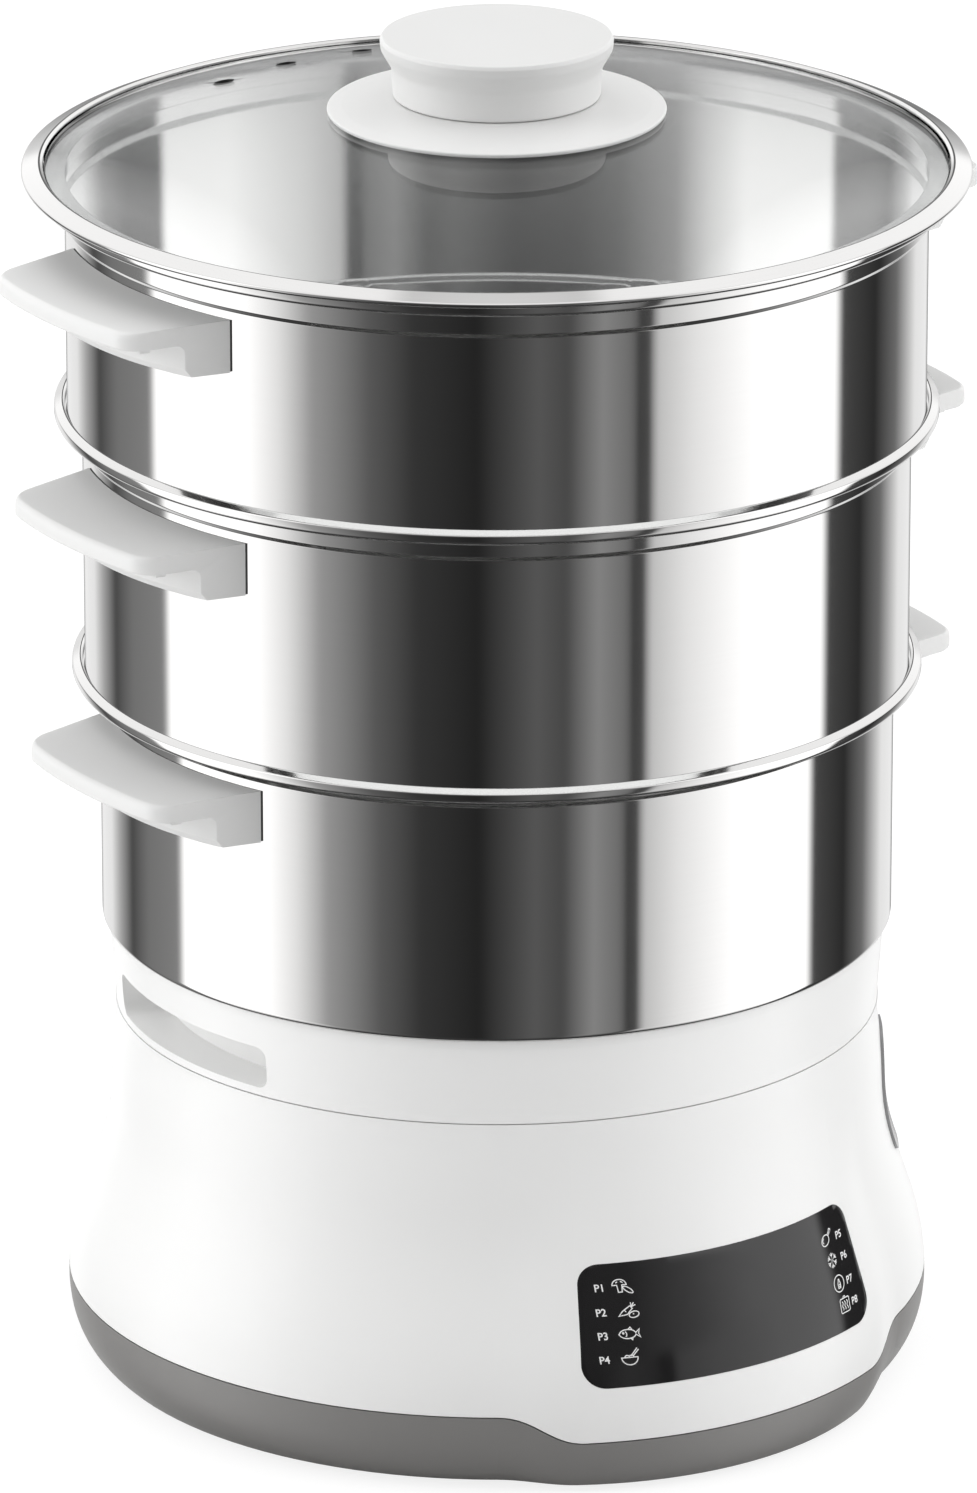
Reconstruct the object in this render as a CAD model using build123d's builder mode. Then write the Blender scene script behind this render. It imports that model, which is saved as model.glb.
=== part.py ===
"""Electric food steamer: a base with a water tank, heater and touch panel, a juice
collector, three steel bowls that stack, and a glass lid with a knob.

Millimetres. The origin is the centre of the plane that the feet rest on. +Z is up and
the panel faces -Y. Angles round the axis are counted from the front, towards +X.
"""

import os
from math import cos, radians, sin, sqrt

from build123d import *

os.makedirs("parts", exist_ok=True)

# ---------------------------------------------------------------- driving sizes

# fits
seat_gap = 0.3  # under a piece that lifts off
side_gap = 0.6  # round a foot or a skirt that drops into the piece below
joint_gap = 0.1  # between fixed pieces that are screwed or pushed together

# base: a grey skirt below, a white housing above, with a bulge in front for the panel
foot_drop = 2.0  # how far the feet stand out of the skirt
skirt_height = 21.4  # from the skirt's bottom to the seam
base_height = 103.0  # from the skirt's bottom to the housing's top
flare_height = 76.0  # where the housing's flare ends and its neck starts
neck_top_radius = 108.3
neck_flare = 1.4  # from the housing's top down to the neck's foot
base_flare = 12.7  # from the neck's foot down to the seam
skirt_tuck = 7.5  # how far the skirt curves in at its bottom
shell_wall = 2.5
bulge_proud = 5.2
bulge_end_share = 0.65  # of the bulge that is left at the ends of its round front
bulge_foot_extra = 4.0  # the bulge keeps the skirt nearly upright
bulge_flat_angle = 23.3  # half-angle of the bulge's round front
bulge_blend_angle = 10.6  # more angle on each side, over which it blends in
bulge_full_height = 58.0
bulge_fade_height = 90.0
seam_dip = 7.4  # the seam runs lower along the bulge

# touch panel, on the slope of the bulge
panel_top_width = 89.2
panel_low_width = 98.6
panel_height = 32.9
panel_corner = 6.0
panel_middle_height = 46.6  # above the skirt's bottom
panel_tilt = 18.0  # of the boards behind it; the slope of the bulge
lens_thickness = 1.6
board_thickness = 1.6

# water level window, a strip on the right-hand side
window_angle = 58.0
window_width = 18.0
window_bottom = 55.0
window_top = 91.0
window_proud = 0.9
window_sunk = 1.4

# water tank
tank_wall = 2.2
tank_flange = 4.7
tank_draft = 7.5  # how far the tank's side leans in from its top to its floor
tank_floor_height = 48.0  # outside of the floor, above the skirt's bottom
tank_flange_drop = 2.7  # flange top below the housing's top
flange_thickness = 2.2

# heater, in a hole in the tank's floor
heater_hole_radius = 34.0
heater_lip = 6.0
heater_sheet = 1.2
heater_rise = 6.0
heater_seal_thickness = 1.5
stud_radius = 1.5
nut_radius = 3.1
nut_height = 2.4
clamp_gap = 1.0
clamp_thickness = 2.0
element_ring_radius = 22.0
element_half_width = 4.5
element_draft = 1.5
element_height = 9.0
element_pin_radius = 1.6
element_terminal = 9.0
thermostat_radius = 9.0
thermostat_height = 8.0
tab_thickness = 1.0
tab_width = 5.0
fuse_length = 12.0
fuse_radius = 2.6

# steam ring round the heater
steam_ring_radius = 42.5
steam_ring_wall = 1.8
steam_ring_height = 47.0
steam_ring_notches = 6
steam_notch_width = 9.0
steam_notch_height = 5.0

# juice collector
collar_height = 25.0
collar_inset = 0.2  # collar's neck inside the housing's top edge
collar_flare = 1.5
collar_wall = 2.4
tray_floor = 2.2
chimney_radius = 46.0
chimney_height = 13.5
grip_angle = 20.0  # half-angle of each grip recess
grip_wall_angle = 21.2  # half-angle out to the outside of its end walls
grip_bottom = 2.2
grip_top = 14.5
grip_depth = 13.0
grip_round = 3.4  # of the recess's four corners
locating_rib_drop = 4.0

# bowls, from the lowest up: outer radius, plain wall height, band height, seat and rim
sheet = 0.8
bowl_bend = 1.3
foot_depth = 8.0
band_step = 1.4
rim_depth = 3.3
bead_round = 0.9
bowl_overhang = 2.1  # lowest bowl's wall outside the collar's top
nest_step = 4.15
bowl_wall_heights = {"bowl_3": 68.8, "bowl_2": 67.7, "bowl_1": 56.7}
bowl_band_heights = {"bowl_3": 3.6, "bowl_2": 6.6, "bowl_1": 8.2}
top_rim_flare = 7.1  # from the top bowl's wall out to the lid's seat
rim_bead = 3.0  # width of a rim's bead outside the seat
top_rim_bead = 1.3
vent_hole_radius = 3.0
vent_ring_radii = (30.0, 60.0, 90.0)
vent_ring_counts = (6, 12, 12)

# bowl handles
handle_reach = 29.5  # beyond the bowl's wall
handle_half_width = 40.0  # at the wall
handle_corner_width = 33.0
handle_corner_reach = 26.5
handle_corner_round = 8.0
handle_fall = 2.2  # of the plate's top, from the wall to its outer edge
handle_edge_round = 1.8
handle_hollow_round = 4.0
handle_drop = 2.5  # handle's top below the bowl's band
handle_plate = 5.5
handle_apron = 15.0
apron_depth = 13.0
apron_chamfer = 1.8
ridge_inset = 2.0
ridge_width = 5.6
ridge_drop = 3.0
bracket_sheet = 1.5
bracket_width = 24.0
bracket_tongue = 9.5
handle_screw_radius = 2.0

# lid
glass_thickness = 3.2
glass_rise = 16.8
glass_hole_radius = 4.5
lid_sheet = 0.8
lid_flange = 5.7
lid_bead = 2.4
lid_skirt_drop = 3.4
steam_hole_radius = 2.9
steam_hole_circle = 84.0
steam_hole_middle = 191.0
steam_hole_pitch = 18.0
knob_flange_radius = 47.2
knob_flange_edge = 1.6
knob_flange_lift = 0.7  # the flange touches the glass at its rim alone
knob_waist_radius = 27.3
knob_top_radius = 32.4
knob_height = 17.5
knob_crown = 1.6
knob_screw_radius = 2.5
knob_screw_depth = 11.0
knob_screw_head = 3.0
knob_head_radius = 6.0
washer_radius = 13.0
washer_thickness = 2.0

# base screws, feet and fittings
boss_radius = 4.2
boss_angles = [50, 130, 230, 310]
boss_clearance = 9.0  # between the skirt's floor and a boss
screw_pilot_radius = 1.4
screw_shank_radius = 1.4
screw_head_radius = 3.4
screw_head_height = 2.2
screw_grip = 12.0  # thread inside the boss
skirt_floor = 2.5
seam_gap = 0.4
lap_height = 4.0
lap_wall = 1.6
foot_radius = 9.0
foot_sunk = 1.2
foot_circle = 96.0
foot_angles = [35, 145, 215, 325]
ledge_thickness = 1.6
gland_radius = 6.5
gland_flange_radius = 9.0
gland_flange = 2.0
gland_hole_radius = 3.3
gland_height = 11.0  # above the skirt's bottom
power_board_length = 86.0
power_board_width = 52.0
power_board_gap = 7.0  # standoff height
standoff_radius = 3.2
board_screw_radius = 1.25
# relay, transformer and terminal block on the power board: place, outline
board_blocks = [((-25.0, 8.0), (19.0, 15.0)), ((2.0, 10.0), (22.0, 18.0)), ((24.0, -6.0), (14.0, 8.0))]
capacitor_place = (-28.0, -14.0)
capacitor_radius = 5.0
board_block_height = 16.0
control_board_width = 72.0
control_board_height = 28.0
control_board_depth = 12.5  # behind the panel's outside
post_radius = 2.4
display_width = 46.0
display_height = 18.0
display_depth = 6.5

# ---------------------------------------------------------------- worked-out places

seam_z = foot_drop + skirt_height
housing_top = foot_drop + base_height
tank_floor_z = foot_drop + tank_floor_height
tank_flange_top = housing_top - tank_flange_drop
bulge_end_angle = bulge_flat_angle + bulge_blend_angle
neck_low_radius = neck_top_radius + neck_flare
seam_radius = neck_low_radius + base_flare
neck_inner_radius = neck_top_radius - shell_wall
tank_top_radius = neck_inner_radius - side_gap - tank_flange
tank_floor_radius = tank_top_radius - tank_draft
collector_bottom = housing_top + seat_gap
collar_top = housing_top + collar_height
collar_neck_radius = neck_top_radius - collar_inset
collar_top_radius = collar_neck_radius + collar_flare
lowest_radius = collar_top_radius + bowl_overhang
top_radius = lowest_radius + 2 * nest_step
lid_seat_radius = top_radius + top_rim_flare
lid_ring_radius = lid_seat_radius - side_gap
lid_skirt_radius = top_radius + band_step - sheet - side_gap


def ease(share):
    """Smooth step from 0 to 1."""
    share = min(max(share, 0.0), 1.0)
    return share * share * (3 - 2 * share)


def base_radius(height):
    """Outside radius of the base, away from the bulge, at a height above the skirt's bottom."""
    if height < skirt_height:
        return seam_radius - skirt_tuck * (1 - height / skirt_height) ** 3
    if height < flare_height:
        share = (height - skirt_height) / (flare_height - skirt_height)
        return seam_radius + (neck_low_radius - seam_radius) * ease(share)
    share = (height - flare_height) / (base_height - flare_height)
    return neck_low_radius + (neck_top_radius - neck_low_radius) * share


def bulge_extra(height):
    """How far the bulge's front stands out of the base's round at a height."""
    foot = bulge_foot_extra * max(0.0, 1 - height / skirt_height) ** 3
    fade = ease((height - bulge_full_height) / (bulge_fade_height - bulge_full_height))
    return (bulge_proud + foot) * (1 - fade)


def round_point(radius, angle):
    """Point in plan at an angle from the front, towards +X."""
    return (radius * sin(radians(angle)), -radius * cos(radians(angle)))


def round_heading(angle):
    """Direction of travel round the axis at an angle from the front."""
    return (cos(radians(angle)), sin(radians(angle)))


def base_outline(height, inset):
    """The base's outline at a height, drawn in by an inset: front arc, blends, back arc."""
    back = base_radius(height) - inset
    front = back + bulge_extra(height)
    front_end = back + bulge_end_share * bulge_extra(height)
    with BuildSketch(Plane.XY.offset(foot_drop + height)) as outline:
        with BuildLine():
            nose = ThreePointArc(
                round_point(front_end, -bulge_flat_angle),
                round_point(front, 0),
                round_point(front_end, bulge_flat_angle),
            )
            right = Spline(
                nose @ 1,
                round_point(back, bulge_end_angle),
                tangents=(nose % 1, round_heading(bulge_end_angle)),
            )
            rear = ThreePointArc(
                right @ 1, (0, back), round_point(back, -bulge_end_angle)
            )
            Spline(
                rear @ 1,
                nose @ 0,
                tangents=(round_heading(-bulge_end_angle), nose % 0),
            )
        make_face()
    return outline.sketch


def stations(low, high, count):
    return [low + (high - low) * step / count for step in range(count + 1)]


def base_form(inset, low=0.0):
    """Solid of the base's outside form, drawn in by an inset, from a height upwards."""
    heights = (
        stations(low, skirt_height, 3)
        + stations(skirt_height, flare_height, 5)[1:]
        + stations(flare_height, base_height, 2)[1:]
    )
    with BuildPart() as form:
        loft(sections=[base_outline(height, inset) for height in heights])
    return form.part


def base_core(inset, low=0.0):
    """The same form in straight-sided bands, for surfaces that stay out of sight."""
    heights = [low, skirt_height, *stations(skirt_height, bulge_fade_height, 3)[1:], base_height]
    with BuildPart() as core:
        loft(sections=[base_outline(height, inset) for height in heights], ruled=True)
    return core.part


def turned(points):
    """Solid of revolution of a closed outline of (radius, height) points."""
    with BuildPart() as ring:
        with BuildSketch(Plane.XZ):
            with BuildLine():
                Polyline(*points, close=True)
            make_face()
        revolve(axis=Axis.Z)
    return ring.part


def finish(name, piece):
    """Label a finished piece and write it to its own file."""
    piece.label = name
    export_step(piece, f"parts/{name}.step")


# ---------------------------------------------------------------- base shells

base_solid = base_form(0.0)
base_hollow = base_core(shell_wall)
blend_half_width = seam_radius * sin(radians(bulge_end_angle))
dip_half_width = seam_radius * sin(radians(bulge_flat_angle))
outer_reach = seam_radius + bulge_proud + bulge_foot_extra + shell_wall

# what lies above the seam: the seam drops in a smooth wave along the bulge
with BuildPart() as above_seam:
    with BuildSketch(Plane.XY.offset(seam_z)):
        Circle(outer_reach)
    extrude(amount=base_height)
    with BuildSketch(Plane.XZ.offset(base_radius(base_height) / 2)):
        with BuildLine():
            left_edge = Line((-blend_half_width, seam_z + shell_wall), (-blend_half_width, seam_z))
            left_wave = Spline(
                left_edge @ 1,
                (-dip_half_width, seam_z - seam_dip),
                tangents=((1, 0), (1, 0)),
            )
            low_run = Line(left_wave @ 1, (dip_half_width, seam_z - seam_dip))
            right_wave = Spline(
                low_run @ 1, (blend_half_width, seam_z), tangents=((1, 0), (1, 0))
            )
            right_edge = Line(right_wave @ 1, (blend_half_width, seam_z + shell_wall))
            Line(right_edge @ 1, left_edge @ 0)
        make_face()
    extrude(amount=outer_reach)


def panel_plane(tilt):
    """Plane through the middle of the touch panel, leaning back by a tilt."""
    return Plane(
        origin=(
            0,
            -base_radius(panel_middle_height) - bulge_proud,
            foot_drop + panel_middle_height,
        ),
        x_dir=(1, 0, 0),
        z_dir=(0, -cos(radians(tilt)), sin(radians(tilt))),
    )


window_plane = Plane(
    origin=(*round_point(base_radius(flare_height), window_angle), foot_drop + window_bottom),
    x_dir=(*round_heading(window_angle), 0),
    z_dir=(*round_point(1, window_angle), 0),
)


def panel_block(extra):
    """Prism through the bulge in the touch panel's rounded outline."""
    # deeper than the bulge curves back from its nose to the panel's corners
    depth = panel_low_width / 4
    with BuildPart() as block:
        with BuildSketch(panel_plane(0).offset(-depth)) as outline:
            half_height = panel_height / 2 + extra
            top_half = panel_top_width / 2 + extra
            low_half = panel_low_width / 2 + extra
            Polygon(
                (-low_half, -half_height),
                (low_half, -half_height),
                (top_half, half_height),
                (-top_half, half_height),
                align=None,
            )
            fillet(outline.vertices(), panel_corner + extra)
        extrude(amount=2 * depth)
    return block.part


def window_block(extra):
    """Prism through the side wall in the level window's outline."""
    tall = window_top - window_bottom
    with BuildPart() as block:
        with BuildSketch(window_plane.offset(-window_width / 2)):
            with Locations((0, tall / 2)):
                RectangleRounded(
                    window_width + 2 * extra, tall + 2 * extra, window_width / 6 + extra
                )
        extrude(amount=window_width)
    return block.part


def pin(radius, plane, length):
    """Round pin that starts on a plane and runs along its normal."""
    with BuildPart() as plain:
        with BuildSketch(plane):
            Circle(radius)
        extrude(amount=length)
    return plain.part


boss_circle = neck_low_radius - shell_wall / 2 - boss_radius
boss_places = [round_point(boss_circle, angle) for angle in boss_angles]
boss_bottom = foot_drop + skirt_floor + boss_clearance
tank_ledge_z = tank_flange_top - flange_thickness - seat_gap
skirt_floor_z = foot_drop + skirt_floor

board_plane = panel_plane(panel_tilt).offset(-control_board_depth)

# posts behind the panel, from the housing's wall to the control board
with BuildPart() as board_posts:
    with BuildSketch(board_plane):
        with GridLocations(
            control_board_width - 3 * post_radius, control_board_height - 3 * post_radius, 2, 2
        ):
            Circle(post_radius)
    extrude(amount=2 * control_board_depth)
    add(base_core(shell_wall / 2), mode=Mode.INTERSECT)

with BuildPart() as base_housing:
    add(base_solid)
    add(base_hollow, mode=Mode.SUBTRACT)
    add(board_posts.part)
    # inner ledge that the tank's flange rests on
    with BuildSketch(Plane.XY.offset(tank_ledge_z - ledge_thickness)):
        Circle(neck_inner_radius + shell_wall / 2)
        Circle(tank_top_radius + seat_gap, mode=Mode.SUBTRACT)
    extrude(amount=ledge_thickness)
    # screw bosses that grow out of the wall
    with BuildSketch(Plane.XY.offset(boss_bottom)):
        with Locations(*boss_places):
            Circle(boss_radius)
    extrude(amount=foot_drop + flare_height - boss_bottom)
    add(above_seam.part.moved(Location((0, 0, seam_gap))), mode=Mode.INTERSECT)
    with BuildSketch(Plane.XY.offset(boss_bottom)):
        with Locations(*boss_places):
            Circle(screw_pilot_radius)
    extrude(amount=screw_grip + seat_gap, mode=Mode.SUBTRACT)
    # flush seats for the touch panel and the level window
    add(panel_block(joint_gap) - base_form(lens_thickness + joint_gap), mode=Mode.SUBTRACT)
    add(window_block(joint_gap) - base_form(window_sunk + joint_gap), mode=Mode.SUBTRACT)
finish("base_housing", base_housing.part)

with BuildPart() as panel_lens:
    add(base_solid)
    add(panel_block(0), mode=Mode.INTERSECT)
    add(base_form(lens_thickness), mode=Mode.SUBTRACT)
finish("panel_lens", panel_lens.part)

with BuildPart() as level_window:
    add(base_form(-window_proud))
    add(window_block(0), mode=Mode.INTERSECT)
    add(base_form(window_sunk), mode=Mode.SUBTRACT)
finish("level_window", level_window.part)

standoff_grid = GridLocations(
    power_board_length - 3 * standoff_radius, power_board_width - 3 * standoff_radius, 2, 2
)
foot_places = [round_point(foot_circle, angle) for angle in foot_angles]
head_seat_z = skirt_floor_z + boss_clearance - seat_gap - skirt_floor
gland_plane = Plane(
    origin=(0, seam_radius + joint_gap + gland_flange, foot_drop + gland_height),
    x_dir=(1, 0, 0),
    z_dir=(0, -1, 0),
)

with BuildPart() as base_skirt:
    add(base_solid)
    add(above_seam.part, mode=Mode.SUBTRACT)
    # lap rim that rises inside the housing
    add(base_core(shell_wall + seat_gap, skirt_floor))
    with BuildSketch(Plane.XY.offset(seam_z + lap_height)):
        Circle(outer_reach)
    extrude(amount=base_height, mode=Mode.SUBTRACT)
    add(base_core(shell_wall + seat_gap + lap_wall, skirt_floor), mode=Mode.SUBTRACT)
    # screw towers, hollow from below, that meet the housing's bosses
    with BuildSketch(Plane.XY.offset(foot_drop)):
        with Locations(*boss_places):
            Circle(boss_radius + shell_wall / 2)
    extrude(amount=boss_bottom - seat_gap - foot_drop)
    with BuildSketch(Plane.XY.offset(foot_drop)):
        with Locations(*boss_places):
            Circle(screw_head_radius + seat_gap)
    extrude(amount=head_seat_z - foot_drop, mode=Mode.SUBTRACT)
    with BuildSketch(Plane.XY.offset(foot_drop)):
        with Locations(*boss_places):
            Circle(screw_shank_radius + seat_gap)
    extrude(amount=boss_bottom, mode=Mode.SUBTRACT)
    # shallow seats for the feet
    with BuildSketch(Plane.XY.offset(foot_drop)):
        with Locations(*foot_places):
            Circle(foot_radius + joint_gap)
    extrude(amount=foot_sunk, mode=Mode.SUBTRACT)
    # standoffs for the power board
    with BuildSketch(Plane.XY.offset(skirt_floor_z)):
        with standoff_grid:
            Circle(standoff_radius)
    extrude(amount=power_board_gap)
    with BuildSketch(Plane.XY.offset(skirt_floor_z + power_board_gap)):
        with standoff_grid:
            Circle(board_screw_radius + joint_gap)
    extrude(amount=-power_board_gap / 2 - seat_gap, mode=Mode.SUBTRACT)
    # round hole for the cord gland
    add(pin(gland_radius + joint_gap, gland_plane, 5 * shell_wall), mode=Mode.SUBTRACT)
finish("base_skirt", base_skirt.part)

with BuildPart() as base_screws:
    with BuildSketch(Plane.XY.offset(head_seat_z - screw_head_height)):
        with Locations(*boss_places):
            Circle(screw_head_radius)
    extrude(amount=screw_head_height)
    with BuildSketch(Plane.XY.offset(head_seat_z)):
        with Locations(*boss_places):
            Circle(screw_shank_radius)
    extrude(amount=boss_bottom + screw_grip - head_seat_z)
finish("base_screws", base_screws.part)

with BuildPart() as feet:
    with BuildSketch():
        with Locations(*foot_places):
            Circle(foot_radius)
    extrude(amount=foot_drop + foot_sunk)
finish("feet", feet.part)

with BuildPart() as cord_gland:
    with BuildSketch(gland_plane):
        Circle(gland_flange_radius)
    extrude(amount=gland_flange)
    add(pin(gland_radius, gland_plane, 4 * shell_wall))
    add(pin(gland_hole_radius, gland_plane, 5 * shell_wall), mode=Mode.SUBTRACT)
finish("cord_gland", cord_gland.part)

# ---------------------------------------------------------------- water tank and heater

tank_inner_top = tank_top_radius - tank_wall
tank_floor_top = tank_floor_z + tank_wall
stud_circle = heater_hole_radius + heater_lip / 2
stud_places = [round_point(stud_circle, 60 + 120 * turn) for turn in range(3)]
with BuildPart() as water_tank:
    add(
        turned(
            [
                (heater_hole_radius, tank_floor_z),
                (tank_floor_radius, tank_floor_z),
                (tank_top_radius, tank_flange_top - flange_thickness),
                (neck_inner_radius - side_gap, tank_flange_top - flange_thickness),
                (neck_inner_radius - side_gap, tank_flange_top),
                (tank_inner_top, tank_flange_top),
                (tank_floor_radius - tank_wall, tank_floor_top),
                (heater_hole_radius, tank_floor_top),
            ]
        )
    )
    with BuildSketch(Plane.XY.offset(tank_floor_z)):
        with Locations(*stud_places):
            Circle(stud_radius + joint_gap)
    extrude(amount=tank_wall, mode=Mode.SUBTRACT)
finish("water_tank", water_tank.part)

heater_foot_z = tank_floor_top + heater_seal_thickness
heater_edge_radius = heater_hole_radius + heater_lip
heater_dome_radius = heater_hole_radius - heater_lip
heater_top_z = heater_foot_z + heater_rise
with BuildPart() as heater_seal:
    with BuildSketch(Plane.XY.offset(tank_floor_top)):
        Circle(heater_edge_radius)
        Circle(heater_hole_radius, mode=Mode.SUBTRACT)
        with Locations(*stud_places):
            Circle(stud_radius + joint_gap, mode=Mode.SUBTRACT)
    extrude(amount=heater_seal_thickness)
finish("heater_seal", heater_seal.part)
finish(
    "heater_plate",
    turned(
        [
            (0, heater_top_z - heater_sheet),
            (heater_dome_radius - heater_sheet, heater_top_z - heater_sheet),
            (heater_hole_radius - 2 * heater_sheet, heater_foot_z),
            (heater_edge_radius, heater_foot_z),
            (heater_edge_radius, heater_foot_z + heater_sheet),
            (heater_hole_radius - heater_sheet, heater_foot_z + heater_sheet),
            (heater_dome_radius, heater_top_z),
            (0, heater_top_z),
        ]
    ),
)

element_top = heater_top_z - heater_sheet
element_inner = element_ring_radius - element_half_width
element_outer = element_ring_radius + element_half_width
with BuildPart() as heating_element:
    add(
        turned(
            [
                (element_inner, element_top),
                (element_outer - element_draft, element_top),
                (element_outer, element_top - element_height),
                (element_inner, element_top - element_height),
            ]
        )
    )
    with BuildSketch(Plane.XY.offset(element_top - element_height)):
        with Locations(
            (element_ring_radius, -element_half_width), (element_ring_radius, element_half_width)
        ):
            Circle(element_pin_radius)
    extrude(amount=-element_terminal)
finish("heating_element", heating_element.part)

thermostat_top = heater_top_z - heater_sheet
with BuildPart() as thermostat:
    with BuildSketch(Plane.XY.offset(thermostat_top - thermostat_height)):
        Circle(thermostat_radius)
    extrude(amount=thermostat_height)
    with BuildSketch(Plane.XY.offset(thermostat_top - thermostat_height)):
        with Locations((-thermostat_radius / 2, 0), (thermostat_radius / 2, 0)):
            Rectangle(tab_thickness, tab_width)
    extrude(amount=-thermostat_height / 2)
finish("thermostat", thermostat.part)

with BuildPart() as thermal_fuse:
    fuse_plane = Plane(
        origin=(0, thermostat_radius + fuse_radius + side_gap, thermostat_top - fuse_radius),
        x_dir=(0, 1, 0),
        z_dir=(1, 0, 0),
    )
    add(pin(fuse_radius, fuse_plane.offset(-fuse_length / 2), fuse_length))
finish("thermal_fuse", thermal_fuse.part)

clamp_top = tank_floor_z
with BuildPart() as heater_clamp:
    with BuildSketch(Plane.XY.offset(clamp_top - clamp_thickness)):
        Circle(heater_edge_radius + heater_lip)
        Circle(heater_hole_radius - clamp_gap, mode=Mode.SUBTRACT)
        with Locations(*stud_places):
            Circle(stud_radius + joint_gap, mode=Mode.SUBTRACT)
    extrude(amount=clamp_thickness)
finish("heater_clamp", heater_clamp.part)

with BuildPart() as heater_studs:
    with BuildSketch(Plane.XY.offset(clamp_top - clamp_thickness - nut_height)):
        with Locations(*stud_places):
            Circle(stud_radius)
    extrude(amount=heater_foot_z - clamp_top + clamp_thickness + nut_height)
    with BuildSketch(Plane.XY.offset(clamp_top - clamp_thickness - nut_height)):
        with Locations(*stud_places):
            RegularPolygon(nut_radius, 6)
    extrude(amount=nut_height)
finish("heater_studs", heater_studs.part)

# ---------------------------------------------------------------- steam ring

ring_foot_z = tank_floor_top + seat_gap
with BuildPart() as steam_ring:
    with BuildSketch(Plane.XY.offset(ring_foot_z)):
        Circle(steam_ring_radius)
        Circle(steam_ring_radius - steam_ring_wall, mode=Mode.SUBTRACT)
    extrude(amount=steam_ring_height)
    with BuildSketch(Plane.XY.offset(ring_foot_z)):
        with PolarLocations(steam_ring_radius, steam_ring_notches):
            Rectangle(4 * steam_ring_wall, steam_notch_width)
    extrude(amount=steam_notch_height, mode=Mode.SUBTRACT)
finish("steam_ring", steam_ring.part)

# ---------------------------------------------------------------- boards and display

with BuildPart() as control_board:
    with BuildSketch(board_plane):
        Rectangle(control_board_width, control_board_height)
    extrude(amount=-board_thickness)
finish("control_board", control_board.part)

with BuildPart() as display_module:
    with BuildSketch(board_plane):
        Rectangle(display_width, display_height)
    extrude(amount=display_depth)
finish("display_module", display_module.part)

board_z = skirt_floor_z + power_board_gap
with BuildPart() as power_board:
    with BuildSketch(Plane.XY.offset(board_z)):
        Rectangle(power_board_length, power_board_width)
        with standoff_grid:
            Circle(board_screw_radius + joint_gap, mode=Mode.SUBTRACT)
    extrude(amount=board_thickness)
    with BuildSketch(Plane.XY.offset(board_z + board_thickness)):
        for place, outline in board_blocks:
            with Locations(place):
                Rectangle(*outline)
        with Locations(capacitor_place):
            Circle(capacitor_radius)
    extrude(amount=board_block_height)
finish("power_board", power_board.part)

with BuildPart() as board_screws:
    with BuildSketch(Plane.XY.offset(board_z + board_thickness)):
        with standoff_grid:
            Circle(2 * board_screw_radius)
    extrude(amount=board_screw_radius)
    with BuildSketch(Plane.XY.offset(board_z + board_thickness)):
        with standoff_grid:
            Circle(board_screw_radius)
    extrude(amount=-board_thickness - power_board_gap / 2)
finish("board_screws", board_screws.part)

# ---------------------------------------------------------------- juice collector

collar_inner = collar_neck_radius - collar_wall
tray_top = collector_bottom + tray_floor
locating_rib_radius = tank_inner_top - 2 * side_gap
grip_inner_radius = collar_neck_radius - grip_depth


def round_sector(inner, outer, half_angle, middle):
    """Sketch face: part of a ring on both sides of a middle angle from the front."""
    with BuildSketch() as sector:
        Circle(outer)
        Circle(inner, mode=Mode.SUBTRACT)
        reach = 2 * outer
        with BuildLine():
            Polyline(
                (0, 0),
                tuple(reach * c for c in round_point(1, middle - half_angle)),
                tuple(reach * c for c in round_point(1, middle + half_angle)),
                close=True,
            )
        make_face(mode=Mode.INTERSECT)
    return sector.sketch


collector_ring = turned(
    [
        (locating_rib_radius - tray_floor, collector_bottom - locating_rib_drop),
        (locating_rib_radius, collector_bottom - locating_rib_drop),
        (locating_rib_radius, collector_bottom),
        (collar_neck_radius, collector_bottom),
        (collar_neck_radius, collector_bottom + collar_wall),
        (collar_top_radius, collar_top - collar_wall),
        (collar_top_radius, collar_top),
        (collar_top_radius - collar_wall, collar_top),
        (collar_inner, tray_top + collar_wall),
        (collar_inner, tray_top),
        (chimney_radius + tray_floor, tray_top),
        (chimney_radius + tray_floor, tray_top + chimney_height),
        (chimney_radius, tray_top + chimney_height),
        (chimney_radius, collector_bottom),
        (locating_rib_radius - tray_floor, collector_bottom),
    ]
)


def grip_hollow(middle):
    """Finger hollow of one grip recess, its four corners rounded."""
    face = round_sector(grip_inner_radius, collar_top_radius + collar_wall, grip_angle, middle)
    with BuildPart() as hollow:
        extrude(
            face.moved(Location((0, 0, collector_bottom + grip_bottom))),
            amount=grip_top - grip_bottom,
        )
        straight = hollow.edges().filter_by(GeomType.LINE)
        fillet([edge for edge in straight if abs(edge.tangent_at(0).Z) < joint_gap], grip_round)
    return hollow.part


with BuildPart() as juice_collector:
    add(collector_ring)
    # grip recesses, left and right: walls first, then the hollows
    for side_angle in (90, 270):
        walls = round_sector(
            grip_inner_radius - collar_wall, collar_neck_radius, grip_wall_angle, side_angle
        )
        extrude(
            walls.moved(Location((0, 0, collector_bottom))), amount=grip_top + tray_floor
        )
    for side_angle in (90, 270):
        add(grip_hollow(side_angle), mode=Mode.SUBTRACT)
finish("juice_collector", juice_collector.part)

# ---------------------------------------------------------------- bowls


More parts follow.
